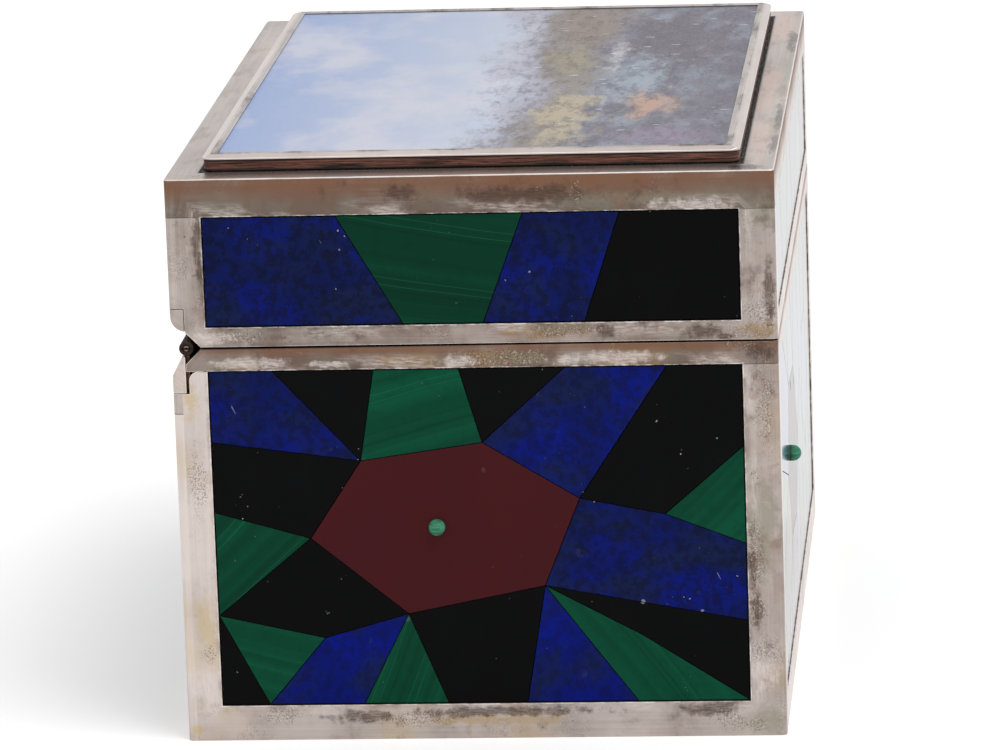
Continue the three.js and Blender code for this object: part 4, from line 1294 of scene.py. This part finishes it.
class SCENE_OT_box_stage(bpy.types.Operator):
    """Make the floor, the light and the camera"""

    bl_idname = "scene.box_stage"
    bl_label = "Stage"

    def execute(self, context):
        stage = settings().stage
        self.make_floor(context, stage)
        self.make_sky(context, stage)
        self.make_lamp(context, stage)
        self.make_camera(context, stage)
        context.scene.view_settings.view_transform = "Standard"
        return {"FINISHED"}

    def make_floor(self, context, stage):
        made, wiring = start_material("Floor")
        diffuse = wiring.add("ShaderNodeBsdfDiffuse", {"Color": with_alpha(stage.floor)})
        path = wiring.add("ShaderNodeLightPath")
        seen = wiring.most(path.outputs["Is Camera Ray"], path.outputs["Is Glossy Ray"])
        lift = wiring.times(seen, stage.floor_lift)
        glow = wiring.add("ShaderNodeEmission", {"Color": WHITE, "Strength": lift})
        both = wiring.add("ShaderNodeAddShader", {0: diffuse.outputs[0], 1: glow.outputs[0]})
        wiring.add("ShaderNodeOutputMaterial", {"Surface": both.outputs[0]})
        data = bpy.data.meshes.new("floor")
        reach = FLOOR_REACH
        corners = [(-reach, -reach, 0), (reach, -reach, 0), (reach, reach, 0), (-reach, reach, 0)]
        data.from_pydata(corners, [], [(0, 1, 2, 3)])
        data.materials.append(made)
        floor = bpy.data.objects.new("floor", data)
        context.scene.collection.objects.link(floor)

    def make_sky(self, context, stage):
        world = bpy.data.worlds.new("Studio")
        world.use_nodes = True
        world.node_tree.nodes.clear()
        wiring = Wiring(world.node_tree)
        path = wiring.add("ShaderNodeLightPath")
        seen = wiring.most(*[path.outputs[f"Is {ray} Ray"] for ray in ("Camera", "Glossy", "Transmission")])
        strength = wiring.between(seen, stage.sky_light, 1.0)
        sky = wiring.add("ShaderNodeBackground", {"Color": WHITE, "Strength": strength})
        wiring.add("ShaderNodeOutputWorld", {"Surface": sky.outputs[0]})
        context.scene.world = world

    def make_lamp(self, context, stage):
        data = bpy.data.lights.new("Lamp", "AREA")
        data.energy = stage.lamp_power
        data.size = stage.lamp_size
        lamp = bpy.data.objects.new("Lamp", data)
        lamp.location = stage.lamp_place
        lamp.rotation_euler = (-lamp.location).to_track_quat("-Z", "Y").to_euler()
        context.scene.collection.objects.link(lamp)

    def make_camera(self, context, stage):
        """Looks along the box, turned by the yaw, then tipped down, then rolled."""
        data = bpy.data.cameras.new("Camera")
        data.sensor_width = SENSOR
        data.lens = stage.lens
        camera = bpy.data.objects.new("Camera", data)
        level = Matrix(((0, 0, -1), (-1, 0, 0), (0, 1, 0)))
        turned = Matrix.Rotation(stage.yaw, 3, "Z") @ level
        tipped = turned @ Matrix.Rotation(-stage.pitch, 3, "X")
        rolled = tipped @ Matrix.Rotation(stage.roll, 3, "Z")
        camera.matrix_world = Matrix.Translation(stage.place) @ rolled.to_4x4()
        context.scene.collection.objects.link(camera)
        context.scene.camera = camera


class SCENE_OT_box_frames(bpy.types.Operator):
    """Make the silver frames, each with a film of its own on every rail and stile"""

    bl_idname = "scene.box_frames"
    bl_label = "Frames"

    def execute(self, context):
        finish = settings().finish
        draws = random.Random(finish.seed)
        silver = material("Silver")
        for half in ("body", "lid"):
            for wall in WALLS:
                self.make_frame(half, wall, finish, draws, silver)
        return {"FINISHED"}

    def make_frame(self, half, wall, finish, draws, silver):
        out, right = WALLS[wall]
        node = f"{half}_{wall}_frame"
        across, low, high = (length * MM for length in WINDOWS[half, wall])
        half_height = (high - low) / 2
        centre = out * (WALL_FACES[wall] * MM) + AXES["z"] * (low + half_height)
        drawn = [draws.uniform(*FILMS) for member in range(4)]
        films = MEMBER_FILMS.get((half, wall), drawn)
        mesh = merged(node)
        close_seams(mesh)
        for distance in (across, across - finish.blend):
            score(mesh, centre, right, distance)
        for distance in (half_height, half_height - finish.blend):
            score(mesh, centre, AXES["z"], distance)
        rounds = round_edges(mesh, finish.edge_round)
        opening = (centre, right, AXES["z"], across, half_height)

        def stain(point, middle):
            """The sides of the window are painted dark: grime, with painted shade in the recess."""
            aside = abs((middle - centre).dot(right)) - across
            rise = abs(middle.z - centre.z) - half_height
            inside = max(aside, rise) < MERGE and (centre - middle).dot(out) > finish.edge_round
            # Painted shade with grime: the window's sides are stained near black.
            return SIDE_GRIME_AND_SHADE[wall] if inside else FACE_STAIN

        def above(point, middle):
            return (point.z - high) / MM

        piece = Piece(f"{node}_worked")
        piece.add(mesh, grain_round(*opening), rounds, tone=film_round(*opening, films), stain=stain,
                  above=above)
        piece.settle(half, "silver" if half == "body" else "tarnished_silver", [silver], [node])


class SCENE_OT_box_sheets(bpy.types.Operator):
    """Finish the base, the lid's top sheet, the gilt liners and the rails that carry the hinge"""

    bl_idname = "scene.box_sheets"
    bl_label = "Sheets and liners"

    def execute(self, context):
        width = settings().finish.sheet_round
        level, upright = grain_along(AXES["x"], AXES["y"]), grain_along(AXES["x"], AXES["z"])
        self.make_sheet("base_plate", "body", -AXES["z"], level, width, film=0.55)
        self.make_sheet("lid_top_plate", "lid", AXES["z"], level, width, film=0.39)
        for half in ("body", "lid"):
            self.make_sheet(f"{half}_hinge_bearer", half, AXES["y"], upright, width, film=0.9, stain=1.6)
            for wall in WALLS:
                self.gild(f"{half}_{wall}_liner", width, material("Gilding"))
        return {"FINISHED"}

    def make_sheet(self, node, body, outside, grain, width, film, stain=0):
        """Silver outside, with a darker film on its edges, and gilt on the face inside the box."""
        mesh = merged(node)
        face = max(vert.co.dot(outside) for vert in mesh.verts)
        rounds = round_edges(mesh, width)

        def coat(side):
            return 1 if side.normal.dot(outside) < -FACING else 0

        def tone(point, middle):
            return film if face - middle.dot(outside) < width * 2 else EDGE_FILM

        piece = Piece(f"{node}_worked")
        piece.add(mesh, grain, rounds, coat, tone=tone, stain=stain)
        materials = [material("Silver"), material("Gilding")]
        piece.settle(body, "silver", materials, [node])

    def gild(self, node, width, gilding):
        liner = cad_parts[node]
        weld = liner.modifiers.new("One skin", "WELD")
        weld.merge_threshold = MERGE
        bevel = liner.modifiers.new("Rounded edges", "BEVEL")
        bevel.width = width
        bevel.segments = 2
        bevel.angle_limit = SHARP_ANGLE
        liner.data.materials.clear()
        liner.data.materials.append(gilding)


class SCENE_OT_box_hinge(bpy.types.Operator):
    """Make the moulded strips, the rolled knuckles with their leaves, and the pin"""

    bl_idname = "scene.box_hinge"
    bl_label = "Hinge"

    def execute(self, context):
        hinge = settings().hinge
        silver = material("Silver")
        for half, film in (("body", 0.25), ("lid", 0.42)):
            node = f"{half}_hinge_strip"
            mesh = merged(node)
            rounds = round_edges(mesh, settings().finish.edge_round)
            piece = Piece(f"{node}_worked")
            piece.add(mesh, grain_along(AXES["x"], AXES["z"], 0.3), rounds, tone=film, stain=FACE_STAIN)
            piece.settle(half, "silver", [silver], [node])
        self.make_leaf(hinge, "body", 0, silver)
        self.make_leaf(hinge, "lid", 1, silver)
        self.make_pin(hinge, silver)
        return {"FINISHED"}

    def make_leaf(self, hinge, half, first, silver):
        """Every second knuckle of the row, and the tongues of the leaf that hold them."""
        low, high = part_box("hinge_pin")
        pivot = (low + high) / 2
        pitch = (high.x - low.x + hinge.gap) / hinge.knuckles
        length = pitch - hinge.gap
        count = (hinge.knuckles + 1 - first) // 2
        start = Vector((low.x + length / 2 + first * pitch, pivot.y, pivot.z))
        piece = Piece(f"{half}_hinge_knuckles")
        row = knuckle_row(start, pitch * 2, count, length, hinge.radius, hinge.bore, hinge.edge, silver)
        mesh = bmesh.new()
        mesh.from_mesh(row)
        bpy.data.meshes.remove(row)
        # The knuckles are near black: dark tarnish, with painted shade of the groove they sit in.
        piece.add(mesh, tone=1, stain=1.88)
        node = f"{half}_hinge_leaf"
        leaf_low, leaf_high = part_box(node)
        reach = hinge.radius * TONGUE_START
        for i in range(count):
            middle = start.x + i * pitch * 2
            left = max(middle - length / 2, low.x + hinge.end)
            right = min(middle + length / 2, high.x - hinge.end)
            bottom, top = (leaf_low.z, pivot.z - reach) if half == "body" else (pivot.z + reach, leaf_high.z)
            tongue = block(Vector((left, pivot.y - hinge.leaf / 2, bottom)),
                           Vector((right, pivot.y + hinge.leaf / 2, top)))
            # The tongues are dark brown: tarnish, with painted shade of the hinge's groove.
            piece.add(tongue, tone=0.9, stain=0.9)
        piece.settle(half, "tarnished_silver", [silver], [node])

    def make_pin(self, hinge, silver):
        low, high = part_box("hinge_pin")
        pivot = (low + high) / 2
        radius = (high.z - low.z) / 2
        half_length = (high.x - low.x) / 2
        head = [(radius * reach, half_length - hinge.edge * sunk) for reach, sunk in PIN_HEAD]
        profile = [(reach, -end) for reach, end in head] + head[::-1]

        def stain(point, middle):
            """Dirt sits in the dimple of each head."""
            return 2 if (point - pivot).yz.length < radius * DIMPLE else 0.6

        piece = Piece("hinge_pin_riveted")
        piece.add(lathe(profile, pivot, AXES["x"], steps=24), tone=0.75, stain=stain)
        piece.settle("body", "tarnished_silver", [silver], ["hinge_pin"])


def knuckle_tree():
    """A row of rolled knuckles, as geometry nodes."""
    tree = bpy.data.node_groups.new("Knuckles", "GeometryNodeTree")
    sockets = (("Start", "Vector"), ("Spacing", "Float"), ("Count", "Int"), ("Length", "Float"),
               ("Radius", "Float"), ("Bore", "Float"), ("Edge", "Float"), ("Finish", "Material"))
    tree.interface.new_socket(name="Mesh", in_out="INPUT", socket_type="NodeSocketGeometry")
    for name, kind in sockets:
        tree.interface.new_socket(name=name, in_out="INPUT", socket_type=f"NodeSocket{kind}")
    tree.interface.new_socket(name="Mesh", in_out="OUTPUT", socket_type="NodeSocketGeometry")
    wiring = Wiring(tree)
    given = wiring.add("NodeGroupInput").outputs
    wall = wiring.minus(given["Radius"], given["Bore"])
    middle = wiring.times(wiring.plus(given["Radius"], given["Bore"]), 0.5)
    ring = wiring.add("GeometryNodeCurvePrimitiveCircle", {"Resolution": KNUCKLE_SIDES, "Radius": middle})
    sides = {"Width": wall, "Height": given["Length"]}
    section = wiring.add("GeometryNodeCurvePrimitiveQuadrilateral", sides).outputs[0]
    eased = wiring.add("GeometryNodeFilletCurve", {"Curve": section, "Radius": given["Edge"]}).outputs[0]
    curves = {"Curve": ring.outputs["Curve"], "Profile Curve": eased}
    tube = wiring.add("GeometryNodeCurveToMesh", curves).outputs[0]
    turn = {"Geometry": tube, "Rotation": (0, math.pi / 2, 0)}
    turned = wiring.add("GeometryNodeTransform", turn).outputs[0]
    step = wiring.add("ShaderNodeCombineXYZ", {"X": given["Spacing"]}).outputs[0]
    places = {"Count": given["Count"], "Start Location": given["Start"], "Offset": step}
    line = wiring.add("GeometryNodeMeshLine", places).outputs[0]
    row = wiring.add("GeometryNodeInstanceOnPoints", {"Points": line, "Instance": turned}).outputs[0]
    solid = wiring.add("GeometryNodeRealizeInstances", {"Geometry": row}).outputs[0]
    coat = {"Geometry": solid, "Material": given["Finish"]}
    wiring.add("NodeGroupOutput", {"Mesh": wiring.add("GeometryNodeSetMaterial", coat).outputs[0]})
    return tree


def knuckle_row(start, spacing, count, length, radius, bore, edge, silver):
    """The plain mesh that the knuckle tree makes for one half of the hinge."""
    tree = bpy.data.node_groups.get("Knuckles") or knuckle_tree()
    carrier = bpy.data.objects.new("Knuckle row", bpy.data.meshes.new("Knuckle row"))
    bpy.context.scene.collection.objects.link(carrier)
    modifier = carrier.modifiers.new("Knuckles", "NODES")
    modifier.node_group = tree
    values = {"Start": start, "Spacing": spacing, "Count": count, "Length": length, "Radius": radius,
              "Bore": bore, "Edge": edge, "Finish": silver}
    for item in tree.interface.items_tree:
        if item.in_out == "INPUT" and item.name in values:
            modifier[item.identifier] = values[item.name]
    graph = bpy.context.evaluated_depsgraph_get()
    row = bpy.data.meshes.new_from_object(carrier.evaluated_get(graph))
    carrier.modifiers.remove(modifier)
    bpy.data.objects.remove(carrier)
    return row


class SCENE_OT_box_stones(bpy.types.Operator):
    """Cut and lay the stones of every wall"""

    bl_idname = "scene.box_stones"
    bl_label = "Stones"

    def execute(self, context):
        stone = settings().stone
        draws = random.Random(stone.seed)
        for wall, layout in LAYOUTS.items():
            for half, (joints, stones) in layout.items():
                self.lay_wall(half, wall, joints, stones, stone, draws)
        return {"FINISHED"}

    def lay_wall(self, half, wall, joints, stones, stone, draws):
        """The left wall's stones are pieces of their own. Each other wall's are one mosaic."""
        mosaic = f"{half}_{wall}_mosaic"
        together = Piece(f"{mosaic}_laid")
        counts = dict.fromkeys(STONE_KINDS, 0)
        materials = [material(kind.capitalize()) for kind in STONE_KINDS]
        mastic = material("Mastic")
        for kind, names in stones:
            counts[kind] += 1
            node = f"{half}_{kind}_{counts[kind]}"
            index = STONE_KINDS.index(kind)
            outline = stone_outline(half, wall, joints, names)
            shade = draws.uniform(*SHADES[half])
            if wall == "left":
                piece = Piece(f"{node}_laid")
                self.add_stone(piece, wall, kind, outline, stone, shade, draws, (0, 1))
                piece.settle(half, kind, [materials[index], mastic], [node])
            else:
                coats = (index, len(STONE_KINDS))
                self.add_stone(together, wall, kind, outline, stone, shade, draws, coats)
        if wall == "left":
            bed = Piece(f"{half}_{wall}_bed")
            bed.add(self.bed(half, wall, stone))
            bed.settle(half, "mosaic", [mastic])
            return
        together.add(self.bed(half, wall, stone), coat=len(STONE_KINDS))
        together.settle(half, "mosaic", [*materials, mastic], [mosaic])

    def add_stone(self, piece, wall, kind, outline, stone, shade, draws, coats):
        """A stone with a fine bevel. Its sides, deep in the joints, are dark with mastic."""
        out, right = WALLS[wall]
        foot = on_wall(wall, outline, stone.bed - FRAME_SHEET)
        mesh = prism(foot, out, FRAME_SHEET - stone.bed - STONE_RECESS)
        rounds = round_edges(mesh, stone.edge_round, 1)

        def coat(face):
            return coats[0] if face.normal.dot(out) > FACING else coats[1]

        turn = draws.uniform(0, math.pi)
        if kind == "malachite":
            sides = [outline[i] - outline[i - 1] for i in range(len(outline))]
            longest = max(sides, key=lambda side: side.length)
            off_side = draws.uniform(*BAND_TURNS)
            turn = math.atan2(longest.y, longest.x) + math.copysign(off_side, turn - MIDDLE_TURN)
        along = right * math.cos(turn) + AXES["z"] * math.sin(turn)
        across = AXES["z"] * math.cos(turn) - right * math.sin(turn)
        piece.add(mesh, grain_along(along, across, draws.random()), rounds, coat, shade=shade)

    def bed(self, half, wall, stone):
        """The mastic behind the stones, against the liner."""
        across, low, high = WINDOWS[half, wall]
        corners = [(-across, low), (across, low), (across, high), (-across, high)]
        inset = JOINT / 2
        drawn = [(u - math.copysign(inset, u), v + (inset if v == low else -inset)) for u, v in corners]
        return prism(on_wall(wall, drawn, -FRAME_SHEET), WALLS[wall][0], stone.bed)


def on_wall(wall, corners, depth):
    """Points on a wall from its own plane, in millimetres, at a depth from its face in metres."""
    out, right = WALLS[wall]
    face = out * (WALL_FACES[wall] * MM + depth)
    return [face + right * (u * MM) + AXES["z"] * (v * MM) for u, v in corners]


def across_wall(wall, share):
    """From -1 at the left edge of a window to 1 at its right edge, or mirrored."""
    return 1 - 2 * share if wall in MIRRORED else 2 * share - 1


def stone_outline(half, wall, joints, names):
    """A stone's corners in its wall's plane, drawn in from the middles of its joints."""
    across, low, high = WINDOWS[half, wall]
    margin = EDGE_GAP - JOINT / 2
    inner = across - margin
    height = high - low - 2 * margin
    corners = []
    for name in names.split()[::-1 if wall in MIRRORED else 1]:
        share, rise = joints[name]
        corners.append(Vector((across_wall(wall, share) * inner, low + margin + rise * height)))
    drawn = []
    for i, corner in enumerate(corners):
        arriving = (corner - corners[i - 1]).normalized()
        leaving = (corners[(i + 1) % len(corners)] - corner).normalized()
        turn = arriving.cross(leaving)
        drawn.append(corner + (leaving - arriving) * (JOINT / 2 / turn))
    return drawn


class SCENE_OT_box_cabochons(bpy.types.Operator):
    """Make the four round green stones that stand out from the walls"""

    bl_idname = "scene.box_cabochons"
    bl_label = "Round stones"

    def execute(self, context):
        stone = settings().stone
        malachite = material("Cabochon")
        for wall, (share, rise) in CABOCHONS.items():
            across, low, high = WINDOWS["body", wall]
            spot = (across_wall(wall, share) * across, low + rise * (high - low))
            foot = on_wall(wall, [spot], -STONE_RECESS)[0]
            radius, height = stone.dome_radius, stone.dome_rise + STONE_RECESS
            girdle, chamfer = height * 0.22, radius * 0.03
            profile = [(0, 0), (radius - chamfer, 0), (radius, chamfer), (radius, girdle)]
            for step in range(1, ARC_STEPS + 1):
                angle = math.radians(step * 90 / ARC_STEPS)
                reach = 0 if step == ARC_STEPS else radius * math.cos(angle)
                profile.append((reach, girdle + (height - girdle) * math.sin(angle)))
            piece = Piece(f"{wall}_round_stone")
            piece.add(lathe(profile, foot, WALLS[wall][0]), shade=0.8)
            replaced = [f"{wall}_cabochon"] if wall in ("left", "front") else []
            piece.settle("body", "malachite", [malachite], replaced)
        return {"FINISHED"}


class SCENE_OT_box_plaque(bpy.types.Operator):
    """Make the board, the silver rim and the painted panel on the lid"""

    bl_idname = "scene.box_plaque"
    bl_label = "Plaque"

    def execute(self, context):
        plaque = settings().plaque
        self.make_board(plaque)
        self.make_rim(plaque)
        self.make_panel(plaque)
        return {"FINISHED"}

    def make_board(self, plaque):
        """Layers of wood, glued one on another with a fine gap at each edge."""
        low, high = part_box("plaque_board")
        draws = random.Random(plaque.layers)
        step = (high.z - low.z) / plaque.layers
        piece = Piece("plaque_board_glued")
        for layer in range(plaque.layers):
            inset = draws.uniform(0, LAYER_INSET) * MM
            bottom = low.z + layer * step
            slab = rounded_slab(high.x - inset, high.y - inset, plaque.corner, bottom, bottom + step)
            rounds = round_edges(slab, plaque.layer_round)
            piece.add(slab, grain_along(AXES["x"], AXES["y"], layer * 0.37), rounds, shade=draws.random())
        piece.settle("lid", "dark_wood", [material("Board")], ["plaque_board"])

    def make_rim(self, plaque):
        mesh = merged("plaque_rim")
        rounds = round_edges(mesh, plaque.rim_round)
        piece = Piece("plaque_rim_worked")
        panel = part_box("painted_panel")[1]
        top = AXES["z"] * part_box("plaque_rim")[1].z
        grain = grain_round(top, AXES["x"], AXES["y"], panel.x, panel.y)
        piece.add(mesh, grain, rounds, tone=0.12, stain=0.03)
        piece.settle("lid", "silver", [material("Silver")], ["plaque_rim"])

    def make_panel(self, plaque):
        """The painted panel, with a very fine bevel."""
        mesh = merged("painted_panel")
        rounds = round_edges(mesh, plaque.rim_round / 2, 1)
        piece = Piece("painted_panel_framed")
        piece.add(mesh, rounds=rounds)
        piece.settle("lid", "painting", [material("Painting")], ["painted_panel"])


class VIEW3D_PT_silver_box(bpy.types.Panel):
    """Lists the steps that make the box, with its settings"""

    bl_label = "Silver presentation box"
    bl_idname = "VIEW3D_PT_silver_box"
    bl_space_type = "VIEW_3D"
    bl_region_type = "UI"
    bl_category = "Box"

    def draw(self, context):
        for step in STEPS:
            self.layout.operator(step.bl_idname)
        for label in ("finish", "stone", "hinge", "plaque", "stage"):
            group_of = getattr(context.scene.silver_box, label)
            column = self.layout.column(align=True)
            column.label(text=label.capitalize())
            for name in group_of.__annotations__:
                column.prop(group_of, name)


STEPS = (
    SCENE_OT_box_stage,
    SCENE_OT_box_frames,
    SCENE_OT_box_sheets,
    SCENE_OT_box_hinge,
    SCENE_OT_box_stones,
    SCENE_OT_box_cabochons,
    SCENE_OT_box_plaque,
)
CLASSES = (
    FinishSettings,
    StoneSettings,
    HingeSettings,
    PlaqueSettings,
    StageSettings,
    BoxSettings,
    *STEPS,
    VIEW3D_PT_silver_box,
)


def register():
    for cls in CLASSES:
        bpy.utils.register_class(cls)
    bpy.types.Scene.silver_box = PointerProperty(type=BoxSettings)


def unregister():
    del bpy.types.Scene.silver_box
    for cls in reversed(CLASSES):
        bpy.utils.unregister_class(cls)


def main():
    register()
    bpy.ops.scene.box_stage()
    bpy.ops.scene.box_frames()
    bpy.ops.scene.box_sheets()
    bpy.ops.scene.box_hinge()
    bpy.ops.scene.box_stones()
    bpy.ops.scene.box_cabochons()
    bpy.ops.scene.box_plaque()


if __name__ == "__main__":
    main()
